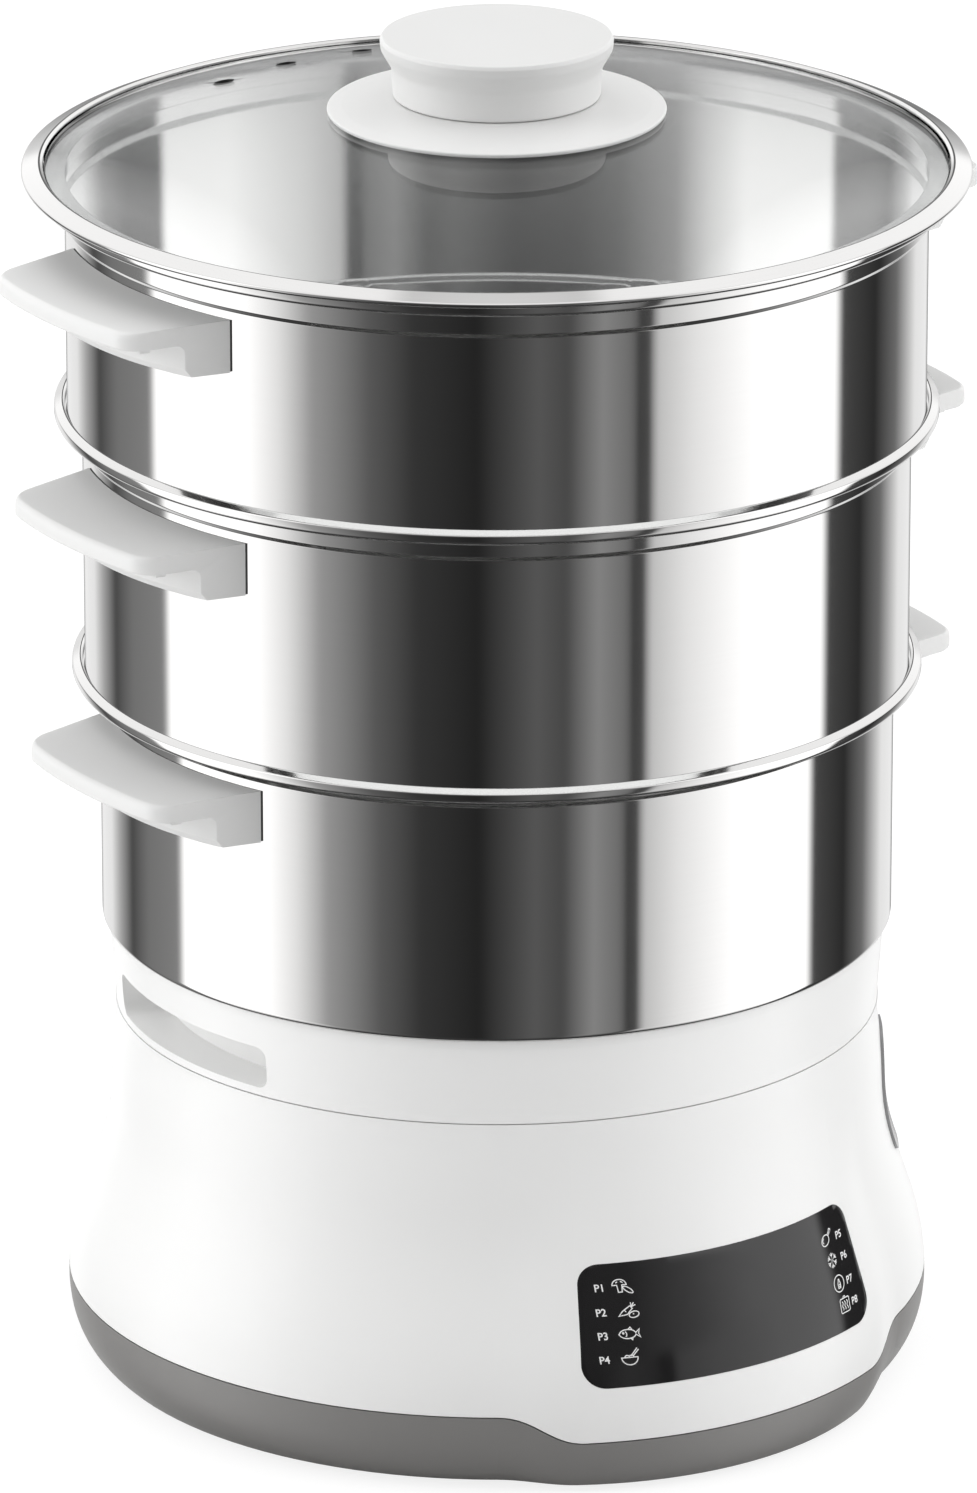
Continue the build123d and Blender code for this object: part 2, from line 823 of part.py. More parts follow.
class BowlSizes:
    """Radii and heights of one bowl, which drops into the rim of what is below it."""

    def __init__(self, name, radius, seat_z, foot_radius):
        self.name = name
        self.radius = radius
        self.foot_radius = foot_radius
        self.shoulder_z = seat_z + seat_gap
        self.floor_z = self.shoulder_z - foot_depth
        self.band_z = self.shoulder_z + bowl_wall_heights[name]
        self.band_radius = radius + band_step
        self.ledge_z = self.band_z + bowl_band_heights[name]
        self.seat_z = self.ledge_z + sheet
        self.rim_top = self.seat_z + rim_depth


def bowl_shell(sizes, seat_radius, rim_radius):
    """Pressed steel bowl: foot, shoulder, wall, band and a rim that the next piece sits in."""
    outside = [
        (0, sizes.floor_z),
        (sizes.foot_radius, sizes.floor_z),
        (sizes.foot_radius, sizes.shoulder_z),
        (sizes.radius - bowl_bend, sizes.shoulder_z),
        (sizes.radius, sizes.shoulder_z + bowl_bend),
        (sizes.radius, sizes.band_z),
        (sizes.band_radius, sizes.band_z + band_step),
        (sizes.band_radius, sizes.ledge_z),
        (rim_radius - bead_round, sizes.ledge_z),
        (rim_radius, sizes.ledge_z + bead_round),
        (rim_radius, sizes.rim_top - bead_round),
        (rim_radius - bead_round, sizes.rim_top),
    ]
    inside = [
        (seat_radius + bead_round / 2, sizes.rim_top),
        (seat_radius, sizes.seat_z),
        (sizes.band_radius - sheet, sizes.seat_z),
        (sizes.band_radius - sheet, sizes.band_z + band_step),
        (sizes.radius - sheet, sizes.band_z),
        (sizes.radius - sheet, sizes.shoulder_z + sheet),
        (sizes.foot_radius - sheet, sizes.shoulder_z + sheet),
        (sizes.foot_radius - sheet, sizes.floor_z + sheet),
        (0, sizes.floor_z + sheet),
    ]
    with BuildPart() as shell:
        add(turned(outside + inside))
        with BuildSketch(Plane.XY.offset(sizes.floor_z)):
            for ring_radius, holes in zip(vent_ring_radii, vent_ring_counts):
                with PolarLocations(ring_radius, holes):
                    Circle(vent_hole_radius)
        extrude(amount=sheet, mode=Mode.SUBTRACT)
    return shell.part


bowl_radii = [lowest_radius + nest_step * step for step in range(3)]
bowl_names = ["bowl_3", "bowl_2", "bowl_1"]
bowls = []
seat_below = collar_top
foot_below = collar_inner - side_gap
for bowl_name, bowl_radius in zip(bowl_names, bowl_radii):
    bowl = BowlSizes(bowl_name, bowl_radius, seat_below, foot_below)
    bowls.append(bowl)
    seat_below = bowl.seat_z
    foot_below = bowl_radius - sheet - side_gap

for step, bowl in enumerate(bowls):
    if step + 1 < len(bowls):
        seat_radius = bowls[step + 1].radius + side_gap
        rim_radius = seat_radius + rim_bead
    else:
        seat_radius = lid_seat_radius
        rim_radius = seat_radius + top_rim_bead
    finish(bowl.name, bowl_shell(bowl, seat_radius, rim_radius))

# ---------------------------------------------------------------- bowl handles


def handle_outline(sizes, inset=0.0):
    """A left handle's outline in plan: it hugs the wall and narrows outwards."""
    wall = sizes.radius + seat_gap
    reach = sizes.radius + handle_reach - inset
    half = handle_half_width - inset
    corner = handle_corner_width - inset
    side = sizes.radius + handle_corner_reach
    root = sqrt(wall**2 - half**2)
    with BuildSketch() as outline:
        with BuildLine():
            inner = ThreePointArc((-root, half), (-wall, 0), (-root, -half))
            lower = Line(inner @ 1, (-side, -corner))
            outer = ThreePointArc(lower @ 1, (-reach, 0), (-side, corner))
            Line(outer @ 1, inner @ 0)
        make_face()
        sharp = outline.vertices().sort_by(Axis.X)[:2]
        fillet(sharp, handle_corner_round - inset)
    return outline.sketch


def handle(sizes):
    """A left handle: a sloping plate with a grip ridge below and an apron down the wall."""
    top = sizes.band_z - handle_drop
    bottom = top - handle_apron
    wall = sizes.radius + seat_gap
    apron_reach = sizes.radius + apron_depth
    far = sizes.radius + 2 * handle_reach
    tongue_z = top - handle_apron / 2

    def plate_top(radius):
        return top - handle_fall * (radius - wall) / handle_reach

    hollow_start = apron_reach + handle_hollow_round
    hollow_top = plate_top(hollow_start) - handle_plate
    with BuildPart() as shape:
        extrude(handle_outline(sizes).moved(Location((0, 0, bottom))), amount=handle_apron)
        # the top falls away from the wall
        with BuildSketch(Plane.XZ):
            with BuildLine():
                Polyline((wall, top), (far, plate_top(far)), (far, top), close=True)
            make_face()
        revolve(axis=Axis.Z, mode=Mode.SUBTRACT)
        # open for fingers under the plate, outside the apron
        with BuildSketch(Plane.XZ):
            with BuildLine():
                under = Line((far, plate_top(far) - handle_plate), (hollow_start, hollow_top))
                crook = RadiusArc(
                    under @ 1, (apron_reach, hollow_top - handle_hollow_round), handle_hollow_round
                )
                Polyline(
                    crook @ 1,
                    (apron_reach, bottom + apron_chamfer),
                    (apron_reach - apron_chamfer, bottom),
                    (far, bottom),
                    under @ 0,
                )
            make_face()
        revolve(axis=Axis.Z, mode=Mode.SUBTRACT)
        # ridge for the fingertips
        with BuildSketch(Plane.XY.offset(plate_top(hollow_start) - handle_plate - ridge_drop)):
            add(handle_outline(sizes, ridge_inset))
            ridge_start = sizes.radius + handle_reach - ridge_inset - ridge_width
            Rectangle(2 * ridge_start, 2 * far, mode=Mode.SUBTRACT)
        extrude(amount=ridge_drop + handle_plate / 2)
        soft = [
            edge
            for edge in shape.faces().sort_by(Axis.Z)[-1].edges()
            if edge.center().X ** 2 + edge.center().Y ** 2 > (wall + seat_gap) ** 2
        ]
        fillet(soft, handle_edge_round)
        # slot for the bracket's tongue and a hole for the screw from below
        with BuildSketch(Plane.XY.offset(tongue_z - joint_gap)):
            with Locations((-wall, 0)):
                Rectangle(2 * (bracket_tongue + seat_gap), bracket_width + 2 * seat_gap)
        extrude(amount=bracket_sheet + 2 * joint_gap, mode=Mode.SUBTRACT)
        with BuildSketch(Plane.XY.offset(bottom)):
            with Locations((-wall - bracket_tongue / 2, 0)):
                Circle(handle_screw_radius + joint_gap)
        extrude(amount=handle_apron / 2, mode=Mode.SUBTRACT)
    return shape.part


def handle_brackets(sizes):
    """Two steel tongues welded to the bowl's wall, left and right."""
    tongue_z = sizes.band_z - handle_drop - handle_apron / 2
    with BuildPart() as tongues:
        with BuildSketch(Plane.XY.offset(tongue_z)):
            Rectangle(2 * (sizes.radius + bracket_tongue), bracket_width)
            Circle(sizes.radius, mode=Mode.SUBTRACT)
        extrude(amount=bracket_sheet)
    return tongues.part


def handle_screws(sizes):
    """Two screws, from below each handle's apron up to the tongue."""
    top = sizes.band_z - handle_drop
    places = sizes.radius + seat_gap + bracket_tongue / 2
    with BuildPart() as screws:
        with BuildSketch(Plane.XY.offset(top - handle_apron + seat_gap)):
            with Locations((-places, 0), (places, 0)):
                Circle(handle_screw_radius)
        extrude(amount=handle_apron / 2 - seat_gap)
    return screws.part


for bowl in bowls:
    left_handle = handle(bowl)
    finish(f"{bowl.name}_handle_left", left_handle)
    finish(f"{bowl.name}_handle_right", left_handle.mirror(Plane.YZ))
    finish(f"{bowl.name}_brackets", handle_brackets(bowl))
    finish(f"{bowl.name}_screws", handle_screws(bowl))

# ---------------------------------------------------------------- lid

top_bowl = bowls[-1]
lid_seat_z = top_bowl.seat_z + seat_gap
glass_edge_radius = lid_ring_radius - lid_sheet - seat_gap
glass_bottom = lid_seat_z + lid_sheet + seat_gap
glass_edge_top = glass_bottom + glass_thickness
lid_flange_z = top_bowl.rim_top + seat_gap
lid_flange_radius = lid_ring_radius + lid_flange
skirt_bottom = lid_seat_z - lid_skirt_drop

finish(
    "lid_rim",
    turned(
        [
            (lid_skirt_radius - lid_sheet, skirt_bottom),
            (lid_skirt_radius, skirt_bottom),
            (lid_skirt_radius, lid_seat_z),
            (lid_ring_radius, lid_seat_z),
            (lid_ring_radius, lid_flange_z),
            (lid_flange_radius - bead_round, lid_flange_z),
            (lid_flange_radius, lid_flange_z + bead_round),
            (lid_flange_radius, lid_flange_z + lid_bead - bead_round),
            (lid_flange_radius - bead_round, lid_flange_z + lid_bead),
            (lid_flange_radius - lid_bead, lid_flange_z + lid_bead),
            (lid_ring_radius - lid_sheet, glass_edge_top),
            (lid_ring_radius - lid_sheet, lid_seat_z + lid_sheet),
            (lid_skirt_radius - lid_sheet, lid_seat_z + lid_sheet),
        ]
    ),
)

dome_radius = (glass_edge_radius**2 + glass_rise**2) / (2 * glass_rise)
dome_centre = glass_edge_top + glass_rise - dome_radius


def dome_height(radius, sphere):
    """Height of the lid's dome at a radius, for the outer or inner sphere."""
    return dome_centre + sqrt(sphere**2 - radius**2)


inner_sphere = dome_radius - glass_thickness


def dome_arc(start_radius, end_radius, sphere):
    middle = (start_radius + end_radius) / 2
    return ThreePointArc(
        (start_radius, dome_height(start_radius, sphere)),
        (middle, dome_height(middle, sphere)),
        (end_radius, dome_height(end_radius, sphere)),
    )


steam_hole_angles = [steam_hole_middle + steam_hole_pitch * step for step in (-1, 0, 1)]
with BuildPart() as lid_glass:
    with BuildSketch(Plane.XZ):
        with BuildLine():
            over = dome_arc(glass_hole_radius, glass_edge_radius, dome_radius)
            edge = Line(over @ 1, (glass_edge_radius, dome_height(glass_edge_radius, inner_sphere)))
            under = dome_arc(glass_edge_radius, glass_hole_radius, inner_sphere)
            Line(under @ 1, over @ 0)
        make_face()
    revolve(axis=Axis.Z)
    with BuildSketch(Plane.XY.offset(glass_bottom)):
        with Locations(*[round_point(steam_hole_circle, angle) for angle in steam_hole_angles]):
            Circle(steam_hole_radius)
    extrude(amount=2 * glass_rise, mode=Mode.SUBTRACT)
finish("lid_glass", lid_glass.part)

knob_seat = dome_radius + seat_gap
flange_z = dome_height(knob_flange_radius, knob_seat)
knob_foot_z = dome_height(0, knob_seat) + knob_flange_edge + knob_flange_lift
finish(
    "knob_flange",
    turned(
        [
            (glass_hole_radius, knob_foot_z - knob_flange_edge),
            (knob_flange_radius, flange_z),
            (knob_flange_radius, flange_z + knob_flange_edge),
            (knob_waist_radius + knob_flange_edge, knob_foot_z),
            (glass_hole_radius, knob_foot_z),
        ]
    ),
)

knob_bottom = knob_foot_z + joint_gap
knob_top = knob_bottom + knob_height
with BuildPart() as knob:
    with BuildSketch(Plane.XZ):
        with BuildLine():
            base_line = Line((0, knob_bottom), (knob_waist_radius, knob_bottom))
            flank = TangentArc(
                base_line @ 1, (knob_top_radius, knob_top - 2 * knob_crown), tangent=(0, 1)
            )
            shoulder = Line(flank @ 1, (knob_top_radius - knob_crown, knob_top - knob_crown / 2))
            crown = Line(shoulder @ 1, (0, knob_top))
            Line(crown @ 1, base_line @ 0)
        make_face()
    revolve(axis=Axis.Z)
    with BuildSketch(Plane.XY.offset(knob_bottom)):
        Circle(knob_screw_radius + joint_gap)
    extrude(amount=knob_screw_depth + seat_gap, mode=Mode.SUBTRACT)
finish("knob", knob.part)

washer_top = dome_height(washer_radius, inner_sphere) - joint_gap
with BuildPart() as knob_washer:
    with BuildSketch(Plane.XY.offset(washer_top - washer_thickness)):
        Circle(washer_radius)
        Circle(knob_screw_radius + joint_gap, mode=Mode.SUBTRACT)
    extrude(amount=washer_thickness)
finish("knob_washer", knob_washer.part)

head_top = washer_top - washer_thickness - joint_gap
with BuildPart() as knob_screw:
    with BuildSketch(Plane.XY.offset(head_top - knob_screw_head)):
        Circle(knob_head_radius)
    extrude(amount=knob_screw_head)
    with BuildSketch(Plane.XY.offset(head_top)):
        Circle(knob_screw_radius)
    extrude(amount=knob_bottom + knob_screw_depth - head_top)
finish("knob_screw", knob_screw.part)
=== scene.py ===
"""Dress for an electric food steamer: polished bowls, glass lid, knob, panel signs and
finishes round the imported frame, with a studio and a camera. Metres; outlines in mm."""
import math
from collections import namedtuple

import bmesh
import bpy
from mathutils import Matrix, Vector
from mathutils.geometry import delaunay_2d_cdt


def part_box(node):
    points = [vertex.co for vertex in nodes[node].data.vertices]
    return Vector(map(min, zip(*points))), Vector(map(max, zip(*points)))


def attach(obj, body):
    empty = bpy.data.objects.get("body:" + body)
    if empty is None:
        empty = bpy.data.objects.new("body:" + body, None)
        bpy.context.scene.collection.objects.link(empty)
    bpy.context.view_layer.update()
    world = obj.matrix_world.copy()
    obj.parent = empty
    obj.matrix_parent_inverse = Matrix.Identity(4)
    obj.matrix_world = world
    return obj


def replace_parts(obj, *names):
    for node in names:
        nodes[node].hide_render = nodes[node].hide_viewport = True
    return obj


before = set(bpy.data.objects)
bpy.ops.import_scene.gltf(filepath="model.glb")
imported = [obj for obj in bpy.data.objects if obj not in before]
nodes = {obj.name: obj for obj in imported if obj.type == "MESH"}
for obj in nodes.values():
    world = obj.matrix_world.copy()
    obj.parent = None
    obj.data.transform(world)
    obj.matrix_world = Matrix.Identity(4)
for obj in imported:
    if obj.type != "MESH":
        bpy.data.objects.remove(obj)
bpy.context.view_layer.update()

MM = 0.001

# ------------------------------------------------------------------ shader groups

FLOAT, COLOR = "NodeSocketFloat", "NodeSocketColor"


def link(tree, out_socket, in_socket):
    tree.links.new(out_socket, in_socket)


def put(tree, kind, label, **sockets):
    """Add a node; a socket value is a number, a colour or another node's output."""
    made = tree.nodes.new(kind)
    made.label = label
    for name, value in sockets.items():
        socket = made.inputs[name.replace("_", " ")]
        if isinstance(value, bpy.types.NodeSocket):
            link(tree, value, socket)
        else:
            socket.default_value = value
    return made


def sums(tree, operation, label, *terms):
    """A Math node with its terms in order."""
    made = tree.nodes.new("ShaderNodeMath")
    made.operation = operation
    made.label = label
    for slot, term in enumerate(terms):
        if isinstance(term, bpy.types.NodeSocket):
            link(tree, term, made.inputs[slot])
        else:
            made.inputs[slot].default_value = term
    return made.outputs[0]


def tint(tree, color, amount):
    """The colour made lighter or darker by an amount."""
    made = put(tree, "ShaderNodeVectorMath", "tinted")
    made.operation = "SCALE"
    link(tree, color, made.inputs[0])
    link(tree, amount, made.inputs["Scale"])
    return made.outputs[0]


def blend_shaders(tree, label, share, first, second):
    """Two shaders blended; a share of 1 gives the second alone."""
    blend = tree.nodes.new("ShaderNodeMixShader")
    blend.label = label
    for slot, socket in enumerate((share, first, second)):
        link(tree, socket, blend.inputs[slot])
    return blend.outputs[0]


def new_group(name, inputs, outputs):
    """Empty shader group with named float or colour sockets."""
    tree = bpy.data.node_groups.new(name, "ShaderNodeTree")
    for socket_name, kind, value in inputs:
        socket = tree.interface.new_socket(socket_name, in_out="INPUT", socket_type=kind)
        socket.default_value = value
    for socket_name, kind in outputs:
        tree.interface.new_socket(socket_name, in_out="OUTPUT", socket_type=kind)
    return tree, tree.nodes.new("NodeGroupInput"), tree.nodes.new("NodeGroupOutput")


def make_moulded_skin():
    """Moulded plastic: faint tone drift, gloss drift and a fine pebble for the bump."""
    tree, given, out = new_group(
        "moulded skin",
        [
            ("Color", COLOR, (0.8, 0.8, 0.8, 1)),
            ("Tone Drift", FLOAT, 0.03),
            ("Roughness", FLOAT, 0.4),
            ("Gloss Drift", FLOAT, 0.08),
            ("Pebble Scale", FLOAT, 2500.0),
        ],
        [("Color", COLOR), ("Roughness", FLOAT), ("Height", FLOAT)],
    )
    place = tree.nodes.new("ShaderNodeTexCoord").outputs["Object"]
    broad = put(tree, "ShaderNodeTexNoise", "broad drift", Vector=place, Scale=14.0, Detail=3.0)
    cloudy = put(tree, "ShaderNodeTexNoise", "gloss drift", Vector=place, Scale=60.0, Detail=5.0)
    pebble = put(
        tree, "ShaderNodeTexNoise", "pebble", Vector=place, Scale=given.outputs["Pebble Scale"],
        Detail=2.0,
    )
    centred = sums(tree, "SUBTRACT", "around zero", broad.outputs[0], 0.5)
    drift = sums(tree, "MULTIPLY", "tone drift", centred, given.outputs["Tone Drift"])
    tone = sums(tree, "ADD", "tone", drift, 1.0)
    link(tree, tint(tree, given.outputs["Color"], tone), out.inputs["Color"])
    swing = sums(tree, "SUBTRACT", "gloss around zero", cloudy.outputs[0], 0.5)
    swing = sums(tree, "MULTIPLY", "gloss swing", swing, given.outputs["Gloss Drift"])
    rough = sums(tree, "ADD", "roughness", swing, given.outputs["Roughness"])
    link(tree, rough, out.inputs["Roughness"])
    link(tree, pebble.outputs[0], out.inputs["Height"])
    return tree


def make_turned_polish():
    """Spun and polished metal: hair-fine lines that run round the axis, and haze."""
    tree, given, out = new_group(
        "turned polish",
        [
            ("Color", COLOR, (0.7, 0.7, 0.7, 1)),
            ("Roughness", FLOAT, 0.08),
            ("Haze", FLOAT, 0.05),
            ("Line Scale", FLOAT, 2600.0),
        ],
        [("Color", COLOR), ("Roughness", FLOAT), ("Height", FLOAT)],
    )
    place = tree.nodes.new("ShaderNodeTexCoord").outputs["Object"]
    split = put(tree, "ShaderNodeSeparateXYZ", "place")
    link(tree, place, split.inputs[0])
    x, y, z = split.outputs
    squared = sums(tree, "MULTIPLY", "x squared", x, x)
    squared = sums(tree, "MULTIPLY_ADD", "radius squared", y, y, squared)
    radius = sums(tree, "SQRT", "radius", squared)
    angle = sums(tree, "ARCTAN2", "angle", y, x)
    across = sums(tree, "ADD", "across the lines", radius, z)
    across = sums(tree, "MULTIPLY", "line spacing", across, given.outputs["Line Scale"])
    field = put(tree, "ShaderNodeCombineXYZ", "line field", X=angle, Y=across).outputs[0]
    lines = put(tree, "ShaderNodeTexNoise", "hairlines", Vector=field, Scale=1.0, Detail=3.0)
    cloud = put(tree, "ShaderNodeTexNoise", "haze", Vector=place, Scale=30.0, Detail=4.0)
    haze = sums(tree, "MULTIPLY", "haze amount", cloud.outputs[0], given.outputs["Haze"])
    fine = sums(tree, "MULTIPLY_ADD", "line haze", lines.outputs[0], 0.02, haze)
    rough = sums(tree, "ADD", "roughness", fine, given.outputs["Roughness"])
    link(tree, rough, out.inputs["Roughness"])
    shade = sums(tree, "MULTIPLY_ADD", "line tone", lines.outputs[0], 0.03, 0.985)
    link(tree, tint(tree, given.outputs["Color"], shade), out.inputs["Color"])
    link(tree, lines.outputs[0], out.inputs["Height"])
    return tree


moulded_skin = make_moulded_skin()
turned_polish = make_turned_polish()

# ------------------------------------------------------------------ finishes

PEBBLE_DEPTH, HAIRLINE_DEPTH = 0.00002, 0.00001


def new_material(name, group, bump, bump_distance, values, **plain):
    """Material with one effect group in front of its Principled shader."""
    material = bpy.data.materials.new(name)
    material.use_nodes = True
    tree = material.node_tree
    shader = tree.nodes["Principled BSDF"]
    effect = tree.nodes.new("ShaderNodeGroup")
    effect.node_tree = group
    effect.label = group.name
    for socket, value in values.items():
        effect.inputs[socket].default_value = value
    link(tree, effect.outputs["Color"], shader.inputs["Base Color"])
    link(tree, effect.outputs["Roughness"], shader.inputs["Roughness"])
    relief = put(tree, "ShaderNodeBump", "fine relief", Strength=bump, Distance=bump_distance)
    link(tree, effect.outputs["Height"], relief.inputs["Height"])
    link(tree, relief.outputs[0], shader.inputs["Normal"])
    for socket, value in plain.items():
        shader.inputs[socket.replace("_", " ")].default_value = value
    return material


def plastic(name, color, roughness, tone=0.03, gloss=0.08, pebble=2500.0, bump=0.15, **plain):
    values = {
        "Color": (*color, 1), "Tone Drift": tone, "Roughness": roughness,
        "Gloss Drift": gloss, "Pebble Scale": pebble,
    }
    return new_material(name, moulded_skin, bump, PEBBLE_DEPTH, values, **plain)


def metal(name, color, roughness, haze=0.05, lines=2600.0, bump=0.05):
    values = {"Color": (*color, 1), "Roughness": roughness, "Haze": haze, "Line Scale": lines}
    return new_material(name, turned_polish, bump, HAIRLINE_DEPTH, values, Metallic=1.0)


white_gloss = plastic("white gloss plastic", (0.84, 0.84, 0.835), 0.3, tone=0.012, gloss=0.05)
white_satin = plastic("white satin plastic", (0.74, 0.74, 0.735), 0.48, tone=0.015, bump=0.3)
grey_skirt = plastic("grey satin plastic", (0.21, 0.205, 0.2), 0.42, tone=0.05, bump=0.35)
black_panel = plastic(
    "black panel glass", (0.012, 0.0115, 0.012), 0.07, tone=0.1, gloss=0.03, bump=0.02,
)
smoked_window = plastic("smoked window", (0.3, 0.3, 0.305), 0.16, gloss=0.04, bump=0.05)
tank_plastic = plastic("light grey tank plastic", (0.6, 0.6, 0.59), 0.4, bump=0.2)
sign_print = plastic("white sign print", (0.8, 0.8, 0.8), 0.5, tone=0.06, bump=0.1)
black_rubber = plastic(
    "black rubber", (0.03, 0.03, 0.03), 0.7, tone=0.2, pebble=1500.0, bump=0.5,
)
clear_silicone = plastic("milky silicone", (0.62, 0.62, 0.6), 0.45, tone=0.06, bump=0.2)
# dark finish of the glass's ground hole walls, also used for the painted shade in the handles'
# gaps
ground_edge_and_gap_shade = plastic(
    "ground glass edge and painted gap shade", (0.03, 0.03, 0.03), 0.6, tone=0.3, pebble=1800.0, bump=0.4,
)
board_green = plastic(
    "circuit board", (0.02, 0.13, 0.06), 0.4, tone=0.4, pebble=900.0, bump=0.4,
)
display_black = plastic("display module", (0.02, 0.02, 0.022), 0.35, tone=0.2)
polished_steel = metal("polished steel", (0.66, 0.655, 0.65), 0.045, haze=0.03)
floor_steel = metal(
    "brushed floor steel", (0.42, 0.42, 0.42), 0.38, haze=0.1, lines=1800.0, bump=0.15,
)
satin_steel = metal("satin steel", (0.5, 0.5, 0.5), 0.28, haze=0.12, lines=1500.0, bump=0.2)
zinc_steel = metal(
    "zinc-plated steel", (0.52, 0.52, 0.5), 0.35, haze=0.15, lines=900.0, bump=0.3,
)
cast_aluminium = metal(
    "cast aluminium", (0.6, 0.6, 0.61), 0.42, haze=0.2, lines=500.0, bump=0.5,
)


def make_lid_glass():
    """Clear glass that lets light through to what lies under it."""
    material = plastic(
        "clear lid glass", (0.875, 0.885, 0.883), 0.015, tone=0.01, gloss=0.01, bump=0.01,
        Transmission_Weight=1.0, IOR=1.47, Specular_IOR_Level=0.3,
    )
    tree = material.node_tree
    glass = tree.nodes["Principled BSDF"].outputs[0]
    path = tree.nodes.new("ShaderNodeLightPath")
    clear = put(tree, "ShaderNodeBsdfTransparent", "light passes", Color=(0.9, 0.92, 0.915, 1))
    choice = blend_shaders(
        tree, "shadow rays pass", path.outputs["Is Shadow Ray"], glass, clear.outputs[0],
    )
    link(tree, choice, tree.nodes["Material Output"].inputs["Surface"])
    return material


lid_glass_finish = make_lid_glass()

finishes = {
    "base_housing": white_gloss, "juice_collector": white_gloss, "base_skirt": grey_skirt,
    "panel_lens": black_panel, "level_window": smoked_window, "feet": black_rubber,
    "cord_gland": black_rubber, "water_tank": tank_plastic, "steam_ring": tank_plastic,
    "heater_plate": satin_steel, "heater_seal": clear_silicone, "knob_washer": clear_silicone,
    "thermal_fuse": clear_silicone, "heating_element": cast_aluminium,
    "thermostat": cast_aluminium, "base_screws": zinc_steel, "board_screws": zinc_steel,
    "heater_clamp": zinc_steel, "heater_studs": zinc_steel, "knob_screw": satin_steel,
    "control_board": board_green, "power_board": board_green, "display_module": display_black,
    "lid_glass": lid_glass_finish, "lid_rim": polished_steel,
    "knob": white_satin, "knob_flange": white_satin,
}
for bowl_name in ("bowl_1", "bowl_2", "bowl_3"):
    finishes[bowl_name] = polished_steel
    for piece, finish in (
        ("handle_left", white_satin), ("handle_right", white_satin),
        ("brackets", satin_steel), ("screws", satin_steel),
    ):
        finishes[f"{bowl_name}_{piece}"] = finish
for name, finish in finishes.items():
    mesh = nodes[name].data
    mesh.materials.clear()
    mesh.materials.append(finish)

# ------------------------------------------------------------------ mesh helpers

# points nearer than SAME_PLACE, in metres, become one; TINY is as good as nothing, in mm
SAME_PLACE, TINY = 1e-7, 1e-6
NEARLY_STRAIGHT = math.radians(178)
LONGEST_BEND = 0.48  # share of a line that one rounding may take
LONG_RUN = 6  # a line this many times longer than "beside" gets a point beside each end
TURNED_STEPS, PLATE_STEPS, RING_STEPS = 224, 192, 96
CLEAR_OF_HOLE = 1.2
# the triangulation's own settings: keep what lies inside the edges, and weld this close
INSIDE_EDGES, WELD = 1, 1e-6


def piece_from(name, points, faces, body, material, sharp=38.0):
    """Mesh object from points in mm, smooth but for its sharp edges, riding on a body."""
    mesh = bpy.data.meshes.new(name)
    mesh.from_pydata([(x * MM, y * MM, z * MM) for x, y, z in points], [], faces)
    form = bmesh.new()
    form.from_mesh(mesh)
    bmesh.ops.remove_doubles(form, verts=form.verts, dist=SAME_PLACE)
    bmesh.ops.recalc_face_normals(form, faces=form.faces)
    for face in form.faces:
        face.smooth = True
    for edge in form.edges:
        edge.smooth = edge.calc_face_angle(0.0) < math.radians(sharp)
    form.to_mesh(mesh)
    form.free()
    mesh.materials.append(material)
    piece = bpy.data.objects.new(name, mesh)
    bpy.context.scene.collection.objects.link(piece)
    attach(piece, body)
    return piece


def circle(x, y, radius, steps, offset=0.0):
    """Places evenly round a middle; the offset is in steps."""
    turns = [2 * math.pi * (step + offset) / steps for step in range(steps)]
    return [(x + radius * math.cos(turn), y + radius * math.sin(turn)) for turn in turns]


def bend(here, before, after, size, arc_steps):
    """Points of the arc that rounds a corner between the lines before and after it."""
    half = before.angle(after) / 2
    reach = min(
        size / math.tan(half), LONGEST_BEND * before.length, LONGEST_BEND * after.length
    )
    start, end = here + before.normalized() * reach, here + after.normalized() * reach
    inward = (before.normalized() + after.normalized()).normalized()
    centre = here + inward * (reach * math.tan(half) / math.sin(half))
    arm = start - centre
    sweep = arm.angle_signed(end - centre)
    spots = []
    for step in range(arc_steps + 1):
        turn = -sweep * step / arc_steps
        spots.append(centre + Vector((
            arm.x * math.cos(turn) - arm.y * math.sin(turn),
            arm.x * math.sin(turn) + arm.y * math.cos(turn),
        )))
    return spots


def rounded(corners, closed=True, arc_steps=5, beside=0.25):
    """Outline through (radius, height, rounding) corners, with points close beside each bend."""
    count = len(corners)
    outline = []
    for at, (r, z, size) in enumerate(corners):
        here = Vector((r, z))
        if not closed and at in (0, count - 1):
            outline.append(here)
            continue
        before = Vector(corners[at - 1][:2]) - here
        after = Vector(corners[(at + 1) % count][:2]) - here
        if size <= 0 or before.angle(after) > NEARLY_STRAIGHT:
            outline.append(here)
        else:
            outline += bend(here, before, after, size, arc_steps)
    steady = []
    for at, here in enumerate(outline):
        steady.append(here)
        following = outline[(at + 1) % len(outline)]
        if not closed and at == len(outline) - 1:
            break
        run = following - here
        if beside and run.length > LONG_RUN * beside:
            steady.append(here + run.normalized() * beside)
            steady.append(following - run.normalized() * beside)
    return steady


